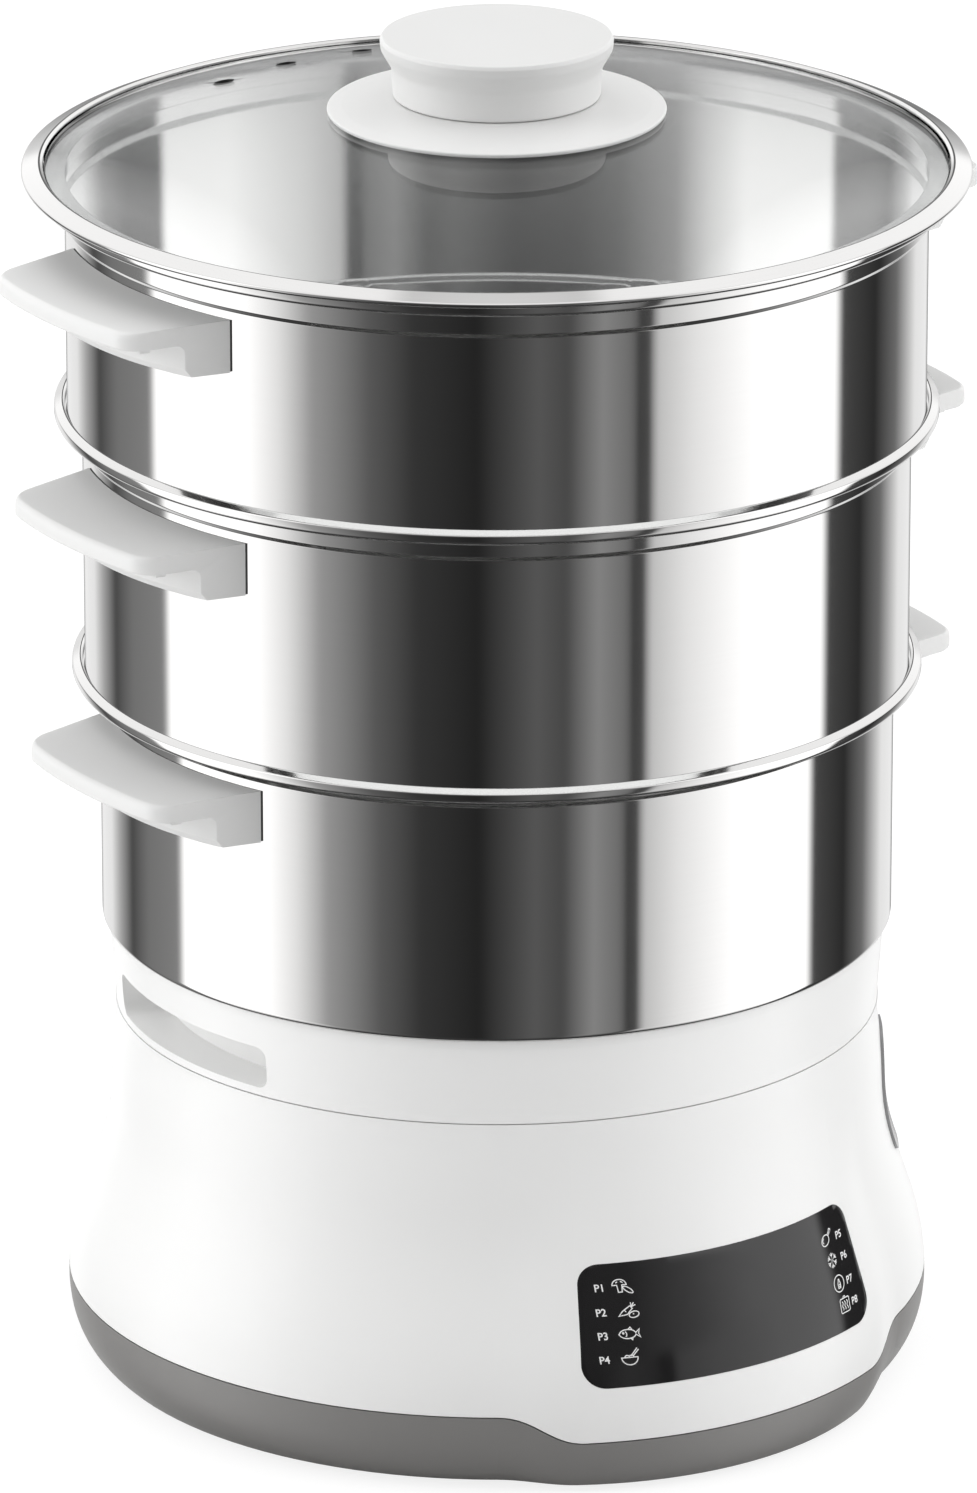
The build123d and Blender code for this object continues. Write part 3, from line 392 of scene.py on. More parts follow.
def turned(name, corners, body, material, closed=True, arc_steps=5):
    """Solid or skin of revolution about the steamer's axis."""
    points, faces, rows = [], [], []
    for radius, height in rounded(corners, closed, arc_steps):
        if radius < TINY:
            rows.append([len(points)] * TURNED_STEPS)
            points.append((0, 0, height))
            continue
        rows.append(list(range(len(points), len(points) + TURNED_STEPS)))
        points += [(x, y, height) for x, y in circle(0, 0, radius, TURNED_STEPS)]
    pairs = list(zip(rows, rows[1:])) + ([(rows[-1], rows[0])] if closed else [])
    for low, high in pairs:
        for step in range(TURNED_STEPS):
            ahead = (step + 1) % TURNED_STEPS
            face = list(dict.fromkeys([low[step], low[ahead], high[ahead], high[step]]))
            if len(face) > 2:
                faces.append(face)
    return piece_from(name, points, faces, body, material)


def triangles_within(flat, edges):
    """Points and triangles of the area inside closed edges."""
    spots, _, triangles, *_ = delaunay_2d_cdt(flat, edges, [], INSIDE_EDGES, WELD)
    return spots, triangles


def sheet_faces(faces, count):
    """Faces of a closed sheet whose under side repeats its upper side, count points on."""
    under = [tuple(count + at for at in reversed(face)) for face in faces]
    seen = {pair for face in faces for pair in zip(face, (*face[1:], face[0]))}
    walls = [(b, a, count + a, count + b) for a, b in seen if (b, a) not in seen]
    return [tuple(face) for face in faces] + under + walls


def holed_plate(name, radius, holes, top, under, body, material, hole_steps, rings=()):
    """Round plate with holes (x, y, radius); top and under give its heights at a radius.

    Rings are the radii of extra points that keep a domed plate smooth."""
    flat, edges = [], []
    outlines = [circle(0, 0, radius, PLATE_STEPS)]
    outlines += [circle(x, y, size, hole_steps) for x, y, size in holes]
    for outline in outlines:
        start, count = len(flat), len(outline)
        flat += [Vector(spot) for spot in outline]
        edges += [(start + at, start + (at + 1) % count) for at in range(count)]
    middles = [(Vector((x, y)), size) for x, y, size in holes]
    for ring in rings:
        for spot in map(Vector, circle(0, 0, ring, RING_STEPS, 0.5)):
            if all((spot - middle).length > size + CLEAR_OF_HOLE for middle, size in middles):
                flat.append(spot)
    spots, triangles = triangles_within(flat, edges)

    def is_open(face):
        centre = sum((spots[at] for at in face), Vector((0, 0))) / len(face)
        return any((centre - middle).length < size for middle, size in middles)

    faces = sheet_faces([face for face in triangles if not is_open(face)], len(spots))
    upper = [(p.x, p.y, top(p.length)) for p in spots]
    lower = [(p.x, p.y, under(p.length)) for p in spots]
    return piece_from(name, upper + lower, faces, body, material)


# ------------------------------------------------------------------ steel bowls

Bowl = namedtuple("Bowl", "wall foot floor shoulder band ledge rim_top seat rim")
# radii: wall, foot, seat and rim; heights above the table: the others
bowl_forms = {
    "bowl_3": Bowl(111.7, 105.1, 122.3, 130.3, 199.1, 202.7, 206.8, 116.45, 119.45),
    "bowl_2": Bowl(115.85, 110.3, 195.8, 203.8, 271.5, 278.1, 282.2, 120.6, 123.6),
    "bowl_1": Bowl(120.0, 114.45, 271.2, 279.2, 335.9, 344.1, 348.2, 127.1, 128.4),
}
SHEET, STEP_OUT = 0.8, 1.4
# the shell turns in under the floor by the lap; the plate starts at the inset, a skin thinner
FLOOR_LAP, FLOOR_INSET, FLOOR_SKIN = 3.0, 2.6, 0.02
BROAD_LEDGE = 7.5  # a ledge this far out from the wall gets a rounder corner
# radius of each ring and the number of its holes
VENT_RINGS = [(12, 6), (26, 12), (40, 18), (54, 24), (68, 30), (82, 36), (95, 42)]
VENT_RADIUS = 2.6


def bowl_section(bowl):
    """The sheet's section: from the floor up the outside, over the rim, down the inside."""
    wide = bowl.wall + STEP_OUT
    return [
        (bowl.foot - FLOOR_LAP, bowl.floor, 0),
        (bowl.foot, bowl.floor, 0.9),
        (bowl.foot, bowl.shoulder, 0.35),
        (bowl.wall, bowl.shoulder, 1.7),
        (bowl.wall, bowl.band, 0.5),
        (wide, bowl.band + STEP_OUT, 0.5),
        (wide, bowl.ledge, 1.0),
        (bowl.rim, bowl.ledge, 1.5 if bowl.rim - bowl.wall > BROAD_LEDGE else 0.6),
        (bowl.rim, bowl.rim_top - 1.3, 0.6),
        (bowl.seat + 0.7, bowl.rim_top, 0.5),
        (bowl.seat, bowl.rim_top - 0.5, 0.3),
        (bowl.seat, bowl.ledge + SHEET, 0.6),
        (wide - SHEET, bowl.ledge + SHEET, 0.3),
        (wide - SHEET, bowl.band + STEP_OUT, 0.5),
        (bowl.wall - SHEET, bowl.band, 0.5),
        (bowl.wall - SHEET, bowl.shoulder + SHEET, 1.0),
        (bowl.foot - SHEET, bowl.shoulder + SHEET, 0.5),
        (bowl.foot - SHEET, bowl.floor + SHEET, 0.25),
        (bowl.foot - FLOOR_LAP, bowl.floor + SHEET, 0),
    ]


vent_holes = [
    (x, y, VENT_RADIUS)
    for ring, count in VENT_RINGS for x, y in circle(0, 0, ring, count, ring % 4 / 4)
]
for name, bowl in bowl_forms.items():
    steel = turned(name + "_steel", bowl_section(bowl), name, polished_steel)
    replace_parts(steel, name)
    floor_plate = holed_plate(
        name + "_floor", bowl.foot - FLOOR_INSET, vent_holes,
        lambda r, z=bowl.floor: z + SHEET - FLOOR_SKIN, lambda r, z=bowl.floor: z + FLOOR_SKIN,
        name, floor_steel, hole_steps=14,
    )
    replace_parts(floor_plate, name)
    # the inside mirrors the room as the outside does, not the wall across
    steel.visible_glossy = floor_plate.visible_glossy = False

# ------------------------------------------------------------------ bowl handles

# in plan, from the wall: the bowed front, and the round corner at each end of it
GRIP_REACH, GRIP_CORNER_REACH, GRIP_CORNER_WIDTH, GRIP_CORNER_ROUND = 26.0, 22.5, 34.0, 8.0
# the bow in parts from its middle to one end; the last ones make way for the corner
FRONT_PARTS, CORNER_PARTS = 12, 3
# in section: the plate on top, and the apron that hangs along the wall
GRIP_HALF_WIDTH, GRIP_PLATE, GRIP_FALL, GRIP_APRON, APRON_DEPTH = 40.0, 5.6, 0.8, 15.0, 13.0
GRIP_GAP, GRIP_BELOW_BAND, GRIP_EDGE, GRIP_CROOK = 0.7, 2.1, 1.9, 2.6
CHAMFER_IN, CHAMFER_UP = 1.8, 2.2
# distance from the wall, and depth from the plate's under side
RIB_SECTION = [(17.5, -1), (21.5, -1), (21.2, 2.6), (18.2, 2.6)]
RIB_END_RAYS = 9  # rays at each end of the handle that have no rib
# painted gap shade, a dark strip for the shadow between wall and handle: its inset, its top, and
# how far short of the apron's foot it stops
GAP_SHADE_INSET, GAP_SHADE_TOP, GAP_SHADE_SHORT = 0.05, 0.15, 0.3
# only a handle's end faces have more corners than this
END_FACE_CORNERS, END_ROUND = 20, 1.1


def grip_rays(wall):
    """Lines in plan from the bowl's wall to the handle's outer edge, from end to end."""
    root = math.sqrt(wall**2 - GRIP_HALF_WIDTH**2)
    bow = GRIP_REACH - GRIP_CORNER_REACH
    bow_radius = (GRIP_CORNER_WIDTH**2 + bow**2) / (2 * bow)
    bow_middle = wall + GRIP_REACH - bow_radius
    half_sweep = math.asin(GRIP_CORNER_WIDTH / bow_radius)
    front = []
    for part in range(FRONT_PARTS - CORNER_PARTS):
        turn = half_sweep * part / FRONT_PARTS
        front.append((bow_middle + bow_radius * math.cos(turn), bow_radius * math.sin(turn), 0))
    corner = (wall + GRIP_CORNER_REACH, GRIP_CORNER_WIDTH, GRIP_CORNER_ROUND)
    # the point at the root only says where the corner turns to
    edge = rounded(
        [*front, corner, (root, GRIP_HALF_WIDTH, 0)], closed=False, arc_steps=10, beside=0
    )[:-1]
    rays = []
    for out in edge:
        inner_y = GRIP_HALF_WIDTH * out.y / edge[-1].y
        rays.append((Vector((math.sqrt(wall**2 - inner_y**2), inner_y)), out))
    mirrored = [
        (Vector((a.x, -a.y)), Vector((b.x, -b.y))) for a, b in reversed(rays[1:])
    ]
    return mirrored + rays


def swept(rays, profile, side, top, points, faces):
    """Closed strip: a profile of (distance from the wall, depth) along every ray, with ends."""
    rows = []
    for inner, outer in rays:
        row = []
        length = (outer - inner).length
        for spot, depth in profile(length):
            place = inner + (outer - inner) * (spot / length)
            row.append(len(points))
            points.append((side * place.x, place.y, top - depth))
        rows.append(row)
    for a, b in zip(rows, rows[1:]):
        for at in range(len(a)):
            ahead = (at + 1) % len(a)
            faces.append((a[at], a[ahead], b[ahead], b[at]))
    faces += [tuple(rows[0]), tuple(reversed(rows[-1]))]


def grip_profile(length):
    """Plate with a round outer edge, and a chamfered apron with a round crook under the plate."""
    corners = [
        (0, 0, 0), (length, GRIP_FALL * length / GRIP_REACH, GRIP_EDGE),
        (length, GRIP_PLATE + 0.4, 0.9), (APRON_DEPTH, GRIP_PLATE, GRIP_CROOK),
        (APRON_DEPTH, GRIP_APRON - CHAMFER_UP, 0.4), (APRON_DEPTH - CHAMFER_IN, GRIP_APRON, 0.4),
        (0, GRIP_APRON, 0),
    ]
    return [(spot.x, spot.y) for spot in rounded(corners, arc_steps=6, beside=0)]


def rib_profile(length):
    """Rib under the plate, for the fingertips."""
    return [(spot, GRIP_PLATE + depth) for spot, depth in RIB_SECTION]


def gap_shade_profile(length):
    """Thin dark strip in the gap between the wall and the handle: painted shade that stands for
    the gap's shadow.
    """
    near, far = GAP_SHADE_INSET, GRIP_GAP - GAP_SHADE_INSET
    top, foot = GAP_SHADE_TOP, GRIP_APRON - GAP_SHADE_SHORT
    return [(near, top), (far, top), (far, foot), (near, foot)]


def soften_ends(grip):
    """Round the edges of a handle's two flat end faces."""
    form = bmesh.new()
    form.from_mesh(grip.data)
    ends = [
        edge for edge in form.edges
        if edge.is_manifold
        and max(len(face.verts) for face in edge.link_faces) > END_FACE_CORNERS
    ]
    bmesh.ops.bevel(
        form, geom=ends, offset=END_ROUND * MM, offset_type="OFFSET", segments=3, profile=0.5,
        affect="EDGES", clamp_overlap=True,
    )
    form.to_mesh(grip.data)
    form.free()


for name, bowl in bowl_forms.items():
    rays, gap_shade_rays = grip_rays(bowl.wall + GRIP_GAP), grip_rays(bowl.wall)
    grip_top = bowl.band - GRIP_BELOW_BAND
    for side_name, side in (("left", -1), ("right", 1)):
        points, faces = [], []
        swept(rays, grip_profile, side, grip_top, points, faces)
        swept(rays[RIB_END_RAYS:-RIB_END_RAYS], rib_profile, side, grip_top, points, faces)
        grip = piece_from(
            f"{name}_grip_{side_name}", points, faces, name, white_satin,
            sharp=50,
        )
        soften_ends(grip)
        grip.visible_glossy = False
        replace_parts(grip, f"{name}_handle_{side_name}")
        points, faces = [], []
        swept(gap_shade_rays, gap_shade_profile, side, grip_top, points, faces)
        # painted shade: the strip is as dark and dull as the ground edge of the glass, and stands
        # for the shadow in the gap
        gap_shade_strip = piece_from(
            f"{name}_grip_gap_shade_{side_name}", points, faces, name, ground_edge_and_gap_shade,
            sharp=50,
        )
        gap_shade_strip.visible_glossy = False
        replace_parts(gap_shade_strip, f"{name}_handle_{side_name}")
    for fixing in ("brackets", "screws"):
        nodes[f"{name}_{fixing}"].visible_glossy = False

# ------------------------------------------------------------------ lid

GLASS_EDGE, EDGE_TOP, RISE, GLASS_THICKNESS = 125.4, 349.5, 16.8, 3.2
dome = (GLASS_EDGE**2 + RISE**2) / (2 * RISE)
dome_centre = EDGE_TOP + RISE - dome
GLASS_RINGS = [6 * step for step in range(2, 21)] + [124.4]
STEAM_HOLE_ANGLES, STEAM_HOLE_RING, STEAM_HOLE_RADIUS = (170.0, 185.3, 200.6), 94, 2.8
KNOB_SCREW_HOLE = (0, 0, 4.5)
# a face this upright and this close to a steam hole's edge is the hole's ground wall
STEEP, AT_HOLE = 0.5, 0.2


def dome_top(radius):
    return dome_centre + math.sqrt(dome**2 - radius**2)


def dome_under(radius):
    return dome_centre + math.sqrt((dome - GLASS_THICKNESS) ** 2 - min(radius, GLASS_EDGE) ** 2)


steam_holes = []
for angle in STEAM_HOLE_ANGLES:
    turn = math.radians(angle)
    steam_holes.append(
        (STEAM_HOLE_RING * math.sin(turn), -STEAM_HOLE_RING * math.cos(turn), STEAM_HOLE_RADIUS)
    )
lid_pane = holed_plate(
    "lid_pane", GLASS_EDGE, steam_holes + [KNOB_SCREW_HOLE], dome_top, dome_under,
    "lid", lid_glass_finish, hole_steps=24, rings=GLASS_RINGS,
)
lid_pane.data.materials.append(ground_edge_and_gap_shade)
for face in lid_pane.data.polygons:
    across, deep = face.center.x / MM, face.center.y / MM
    from_hole = min(math.hypot(across - x, deep - y) - size for x, y, size in steam_holes)
    if abs(face.normal.z) < STEEP and abs(from_hole) < AT_HOLE:
        face.material_index = 1
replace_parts(lid_pane, "lid_glass")

lid_ring = turned(
    "lid_ring",
    [
        (119.2, 341.8, 0.2), (120.0, 341.8, 0.2), (120.0, 345.2, 0.5), (126.5, 345.2, 0.4),
        (126.5, 347.6, 0.3), (131.6, 347.6, 0.8), (132.2, 348.8, 0.6), (126.9, 350.9, 0.7),
        (125.9, 350.3, 0.3), (125.7, 346.0, 0.2), (119.2, 346.0, 0.4),
    ],
    "lid", polished_steel,
)
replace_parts(lid_ring, "lid_rim")

flange_low, flange_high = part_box("knob_flange")
knob_low, knob_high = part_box("knob")
flange_edge_z, flange_top_z = flange_low.z / MM, flange_high.z / MM
knob_foot, knob_top = knob_low.z / MM, knob_high.z / MM
flange_cap = turned(
    "knob_skirt",
    [
        (4.5, flange_top_z - 1.6, 0), (46.9, flange_edge_z + 0.05, 0.5),
        (47.2, flange_edge_z + 1.2, 0.5), (43.0, flange_edge_z + 2.2, 6.0),
        (28.9, flange_top_z - 0.05, 3.0), (4.5, flange_top_z, 0),
    ],
    "lid", white_satin, arc_steps=8,
)
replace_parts(flange_cap, "knob_flange")
knob_cap = turned(
    "knob_cap",
    [
        (0, knob_foot, 0), (28.8, knob_foot, 0.8), (29.3, knob_top - 9.0, 4.0),
        (32.2, knob_top - 4.0, 3.0), (32.4, knob_top - 1.6, 0.9), (31.8, knob_top - 0.5, 0.5),
        (0, knob_top, 0),
    ],
    "lid", white_satin, closed=False, arc_steps=9,
)
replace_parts(knob_cap, "knob")

# ------------------------------------------------------------------ touch panel

# the round form under the bulge: heights from the skirt's foot, radii from the axis
SKIRT_FOOT, ROUND_RADIUS, ROUND_NARROWS = 2.0, 122.4, 12.7
NARROWS_FROM, NARROWS_OVER = 21.4, 54.6
# how far the bulge stands out at its middle, the share of it at its sides, and its fade
BULGE_DEPTH, BULGE_SIDE_SHARE, FADES_FROM, FADES_OVER = 5.2, 0.65, 58.0, 32.0
BULGE_HALF_ANGLE = math.radians(23.3)
PANEL_LOW, PANEL_HIGH = 32.15, 65.05
PANEL_HALF_WIDTH, PANEL_NARROWS, PANEL_CORNER = 49.3, 4.7, 6.0
PANEL_SPACING, PANEL_COLUMNS, PANEL_ROWS, CLEAR_OF_EDGE = 1.2, 40, 14, 0.9
# how far the front's softened edge lies back and out, and how thick the panel is
SOFT_DROP, SOFT_OUT, PANEL_DEPTH = 0.12, 0.08, 1.5


def ease(share):
    share = min(max(share, 0.0), 1.0)
    return share * share * (3 - 2 * share)


def on_bulge(x, z, lift=0.0):
    """Point on the front bulge at a height above the table, stood out by a lift."""
    height = z - SKIRT_FOOT
    back = ROUND_RADIUS - ROUND_NARROWS * ease((height - NARROWS_FROM) / NARROWS_OVER) + lift
    extra = BULGE_DEPTH * (1 - ease((height - FADES_FROM) / FADES_OVER))
    nose, side = back + extra, back + BULGE_SIDE_SHARE * extra
    centre = (nose**2 - side**2) / (2 * (nose - side * math.cos(BULGE_HALF_ANGLE)))
    return (x, -centre - math.sqrt((nose - centre) ** 2 - x * x), z)


def panel_half_width(z):
    return PANEL_HALF_WIDTH - PANEL_NARROWS * (z - PANEL_LOW) / (PANEL_HIGH - PANEL_LOW)


def make_panel_face():
    """Curved panel of even thickness, with round corners and a softened edge."""
    low, high = panel_half_width(PANEL_LOW), panel_half_width(PANEL_HIGH)
    corners = [(-low, PANEL_LOW), (low, PANEL_LOW), (high, PANEL_HIGH), (-high, PANEL_HIGH)]
    outline = rounded([(*corner, PANEL_CORNER) for corner in corners], arc_steps=12)
    border = []
    for at, here in enumerate(outline):
        ahead = outline[(at + 1) % len(outline)]
        parts = max(1, round((ahead - here).length / PANEL_SPACING))
        border += [here.lerp(ahead, part / parts) for part in range(parts)]
    count = len(border)
    flat = list(border)
    for column in range(-PANEL_COLUMNS, PANEL_COLUMNS + 1):
        for row in range(1, PANEL_ROWS):
            spot = Vector((
                column * PANEL_SPACING,
                PANEL_LOW + (PANEL_HIGH - PANEL_LOW) * row / PANEL_ROWS,
            ))
            if abs(spot.x) < panel_half_width(spot.y) - CLEAR_OF_EDGE and (
                min((spot - edge).length for edge in border) > CLEAR_OF_EDGE
            ):
                flat.append(spot)
    spots, triangles = triangles_within(flat, [(at, (at + 1) % count) for at in range(count)])
    middle = Vector((0, (PANEL_LOW + PANEL_HIGH) / 2))

    def lifted(spot, lift, out=0.0):
        if out:
            spot = middle.lerp(spot, 1 + out / (spot - middle).length)
        return on_bulge(spot.x, spot.y, lift)

    # front, its softened edge, the back's edge, back: each starts where the last one ends
    points = [lifted(spot, 0.0) for spot in spots]
    soft = len(points)
    points += [lifted(spot, -SOFT_DROP, SOFT_OUT) for spot in spots[:count]]
    back = len(points)
    points += [lifted(spot, -PANEL_DEPTH, SOFT_OUT) for spot in spots[:count]]
    inner = len(points)
    points += [lifted(spot, -PANEL_DEPTH) for spot in spots]
    faces = [tuple(face) for face in triangles]
    for at in range(count):
        ahead = (at + 1) % count
        faces.append((at, soft + at, soft + ahead, ahead))
        faces.append((soft + at, back + at, back + ahead, soft + ahead))
    faces += [tuple(inner + at for at in reversed(face)) for face in triangles]
    for at in range(count):
        ahead = (at + 1) % count
        faces.append((back + at, inner + at, inner + ahead, back + ahead))
    return piece_from("panel_face", points, faces, "base", black_panel, sharp=50)


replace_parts(make_panel_face(), "panel_lens")

# ------------------------------------------------------------------ signs on the panel

SIGN_RISE, SIGN_SINK, STROKE, MITRE_LIMIT = 0.04, 0.12, 0.27, 0.5
# capitals take up this share of the type's size
NUMBER_HEIGHT, CAPITAL_SHARE, NUMBER_BOLD = 1.95, 0.7, 0.04


def sign_piece(name, spots, faces):
    """Thin raised print: spots are (across, up) on the panel."""
    upper = [on_bulge(x, z, SIGN_RISE) for x, z in spots]
    lower = [on_bulge(x, z, -SIGN_SINK) for x, z in spots]
    solid = sheet_faces(faces, len(spots))
    piece_from(name, upper + lower, solid, "base", sign_print)


def stroke(path, closed):
    """Ribbon of even width along a path: spots and faces."""
    points = [Vector(p) for p in path]
    count = len(points)
    spots, faces = [], []
    for at, here in enumerate(points):
        before = points[at - 1] if at or closed else here
        after = points[(at + 1) % count] if at < count - 1 or closed else here
        a, b = here - before, after - here
        a = a.normalized() if a.length else b.normalized()
        b = b.normalized() if b.length else a
        middle = a + b
        middle = middle.normalized() if middle.length > TINY else a
        side = Vector((-middle.y, middle.x)) * (STROKE / 2) / max(MITRE_LIMIT, middle.dot(a))
        spots += [tuple(here + side), tuple(here - side)]
    for at in range(count if closed else count - 1):
        ahead = (at + 1) % count
        faces.append((2 * at, 2 * at + 1, 2 * ahead + 1, 2 * ahead))
    return spots, faces


def arc(x, z, rx, rz, start, end, steps):
    """Part of an oval from one angle to another, in degrees."""
    turns = [math.radians(start + (end - start) * s / steps) for s in range(steps + 1)]
    return [(x + rx * math.cos(turn), z + rz * math.sin(turn)) for turn in turns]


def loop(x, z, rx, rz, lean=0.0, steps=24):
    """Whole oval, leaning by some degrees."""
    c, s = math.cos(math.radians(lean)), math.sin(math.radians(lean))
    places = []
    for across, up in circle(0, 0, 1, steps):
        u, v = rx * across, rz * up
        places.append((x + u * c - v * s, z + u * s + v * c))
    return places


def wisp(x):
    """Wavy line of rising steam."""
    return [(x + 0.22 * math.sin(s * 1.3), -1.3 + 0.3 * s) for s in range(9)]


def frost_arms():
    """Six arms from the middle, each with a fork near its end."""
    arm_length, fork_root, fork_tip, fork_lean = 2.0, 1.15, 1.9, 0.34
    lines = []
    for arm in range(6):
        lean = arm * math.pi / 3 + math.pi / 2

        def along(length, aside=0.0):
            return (length * math.cos(lean + aside), length * math.sin(lean + aside))

        lines.append([(0, 0), along(arm_length)])
        lines.append([along(fork_tip, -fork_lean), along(fork_root), along(fork_tip, fork_lean)])
    return lines


# each sign: closed and open lines about its own middle, in mm
sign_lines = {
    "vegetables": {
        "closed": [
            arc(-0.2, 0.3, 1.9, 1.5, 0, 180, 12)
            + [(-0.9, 0.3), (-0.7, -1.6), (0.3, -1.6), (0.5, 0.3)],
            loop(1.9, -1.1, 1.5, 0.55, -35),
        ],
        "open": [[(-1.1, 0.9), (-0.6, 1.2)], [(0.2, 1.25), (0.8, 0.9)]],
    },
    "roots": {
        "closed": [
            [(-2.6, -1.4), (-1.5, -0.2), (0.7, 1.1), (1.3, 0.4), (-0.3, -1.1)],
            loop(1.5, -1.2, 1.4, 0.8, 12),
        ],
        "open": [
            [(1.0, 0.8), (2.3, 1.3)], [(1.0, 0.8), (1.9, 1.9)], [(1.0, 0.8), (1.1, 2.0)],
            [(-0.9, 0.1), (-0.5, -0.4)], [(1.2, -1.0), (1.5, -1.1)],
        ],
    },
    "fish": {
        "closed": [
            arc(-0.4, 0, 2.2, 1.2, 150, 10, 12) + [(2.9, 1.1), (2.5, 0), (2.9, -1.1)]
            + arc(-0.4, 0, 2.2, 1.2, -10, -150, 12) + [(-2.8, 0.0)],
            loop(-1.6, 0.3, 0.18, 0.18, steps=10),
        ],
        "open": [
            arc(-1.6, 0, 0.9, 0.9, -50, 50, 8), [(-0.2, 1.2), (0.5, 1.75), (0.9, 1.0)],
            [(0.1, -1.15), (0.6, -1.6), (0.8, -1.0)],
        ],
    },
    "rice bowl": {
        "closed": [arc(0, 0.1, 2.2, 2.0, 180, 360, 16)],
        "open": [
            arc(-0.7, 0.2, 0.6, 0.5, 0, 180, 8), arc(0.5, 0.2, 0.6, 0.5, 0, 180, 8),
            [(0.4, 0.5), (2.3, 2.5)], [(0.9, 0.4), (2.7, 2.1)],
        ],
    },
    "poultry": {
        "closed": [loop(-0.2, -0.3, 1.7, 1.35, 25)],
        "open": [
            [(0.9, 0.9), (1.9, 1.8)], [(1.25, 0.55), (2.2, 1.45)],
            arc(2.2, 1.85, 0.4, 0.4, -40, 200, 10), arc(-0.5, -0.3, 0.9, 0.7, 110, 240, 8),
        ],
    },
    "frost": {"closed": [], "open": frost_arms()},
    "bottle": {
        "closed": [
            loop(0, 0, 2.2, 2.2, steps=32),
            [(-0.5, -1.2), (0.5, -1.2), (0.55, 0.1), (0.25, 0.6), (0.2, 1.1), (-0.2, 1.1),
             (-0.25, 0.6), (-0.55, 0.1)],
        ],
        "open": [[(-0.2, -0.3), (0.45, -0.3)], [(-0.2, -0.8), (0.45, -0.8)]],
    },
    "steam": {
        "closed": [
            [(-2.0, -1.7), (-1.7, -2.0), (1.7, -2.0), (2.0, -1.7), (2.0, 1.5), (1.7, 1.8),
             (-1.7, 1.8), (-2.0, 1.5)],
        ],
        "open": [
            wisp(-1.0), wisp(0.0), wisp(1.0),
            [(-0.5, 1.8), (-0.35, 2.3), (0.35, 2.3), (0.5, 1.8)],
        ],
    },
}


def draw_sign(name, x, z):
    """Pictogram, its middle at a place on the panel."""
    spots, faces = [], []
    for kind, lines in sign_lines[name].items():
        for path in lines:
            ribbon, strips = stroke(path, closed=kind == "closed")
            start = len(spots)
            spots += [(x + across, z + up) for across, up in ribbon]
            faces += [tuple(start + at for at in face) for face in strips]
    sign_piece("sign_" + name.replace(" ", "_"), spots, faces)


def draw_number(text, x, z):
    """Programme number, its middle at a place on the panel."""
    letters = bpy.data.curves.new("number", "FONT")
    letters.body = text
    letters.size = NUMBER_HEIGHT / CAPITAL_SHARE * MM
    letters.align_x = "CENTER"
    letters.resolution_u = 4
    letters.offset = NUMBER_BOLD * MM
    carrier = bpy.data.objects.new("number", letters)
    bpy.context.scene.collection.objects.link(carrier)
    bpy.context.view_layer.update()
    settled = carrier.evaluated_get(bpy.context.evaluated_depsgraph_get())
    mesh = bpy.data.meshes.new_from_object(settled)
    spots = [(x + v.co.x / MM, z + v.co.y / MM - NUMBER_HEIGHT / 2) for v in mesh.vertices]
    faces = [tuple(p.vertices) for p in mesh.polygons]
    bpy.data.objects.remove(carrier)
    bpy.data.curves.remove(letters)
    bpy.data.meshes.remove(mesh)
    sign_piece("number_" + text, spots, faces)


# number, its place, sign, its place
programmes = [
    ("P1", -40.1, 58.9, "vegetables", -34.6, 59.0), ("P2", -40.9, 52.4, "roots", -33.8, 52.5),
    ("P3", -41.6, 46.2, "fish", -34.6, 46.3), ("P4", -42.3, 39.9, "rice bowl", -35.6, 40.0),
    ("P5", 40.8, 57.1, "poultry", 34.9, 57.5), ("P6", 41.4, 51.3, "frost", 36.0, 51.5),
    ("P7", 41.8, 44.8, "bottle", 37.0, 45.0), ("P8", 42.5, 38.9, "steam", 38.0, 39.0),
]
for number, number_x, number_z, sign, sign_x, sign_z in programmes:
    draw_number(number, number_x, number_z)
    draw_sign(sign, sign_x, sign_z)

# ------------------------------------------------------------------ studio

CAMERA_TURN, CAMERA_TILT, CAMERA_REACH = math.radians(-34.0), math.radians(19.39), 3.329
CAMERA_TARGET = Vector((0, 0, 0.1776))
SENSOR, LENS, PICTURE_SHIFT = 36.0, 284.5, -8.3 / 1493
LAMP_AIM = Vector((0, 0, 0.18))
# brightness straight above and below, and of the whole room
OVERHEAD, UNDERSIDE, ROOM_LIGHT = 0.7, 0.03, 1.7
# heights of a heading, -1 to 1, between which one brightness gives way to the next
WALLS_JOIN, OVERHEAD_JOIN, UNDERSIDE_JOIN = (0.1, 0.2), (0.75, 0.93), (-0.85, -0.5)

# brightness round the steamer, in degrees from the camera's side to the right
low_walls = [
    (-180, 0.12), (-174, 0.2), (-167, 0.58), (-152, 0.6), (-143, 0.3), (-133, 0.05),
    (-122, 0.14), (-106, 0.18), (-103, 1.0), (-72, 1.0), (-60, 0.66), (-50, 0.26),
    (-34, 0.085), (-22, 0.03), (-5, 0.014), (3, 0.045), (11, 0.08), (19, 0.055), (28, 0.2),
    (36, 0.13), (38, 0.04), (41, 0.05), (43, 0.45), (54, 0.67), (78, 1.0), (102, 1.0),
    (105, 0.05), (121, 0.02), (134, 0.12), (150, 0.6), (166, 0.58), (173, 0.15),
]
high_walls = [
    (-180, 0.1), (-170, 0.1), (-167.5, 0.8), (-125, 0.7), (-110, 0.4), (-103, 1.0), (-72, 1.0),
    (-50, 0.3), (-30, 0.1), (0, 0.06), (30, 0.1), (50, 0.45), (72, 1.0), (102, 1.0),
    (110, 0.4), (125, 0.7), (167.5, 0.8), (170, 0.1), (180, 0.1),
]


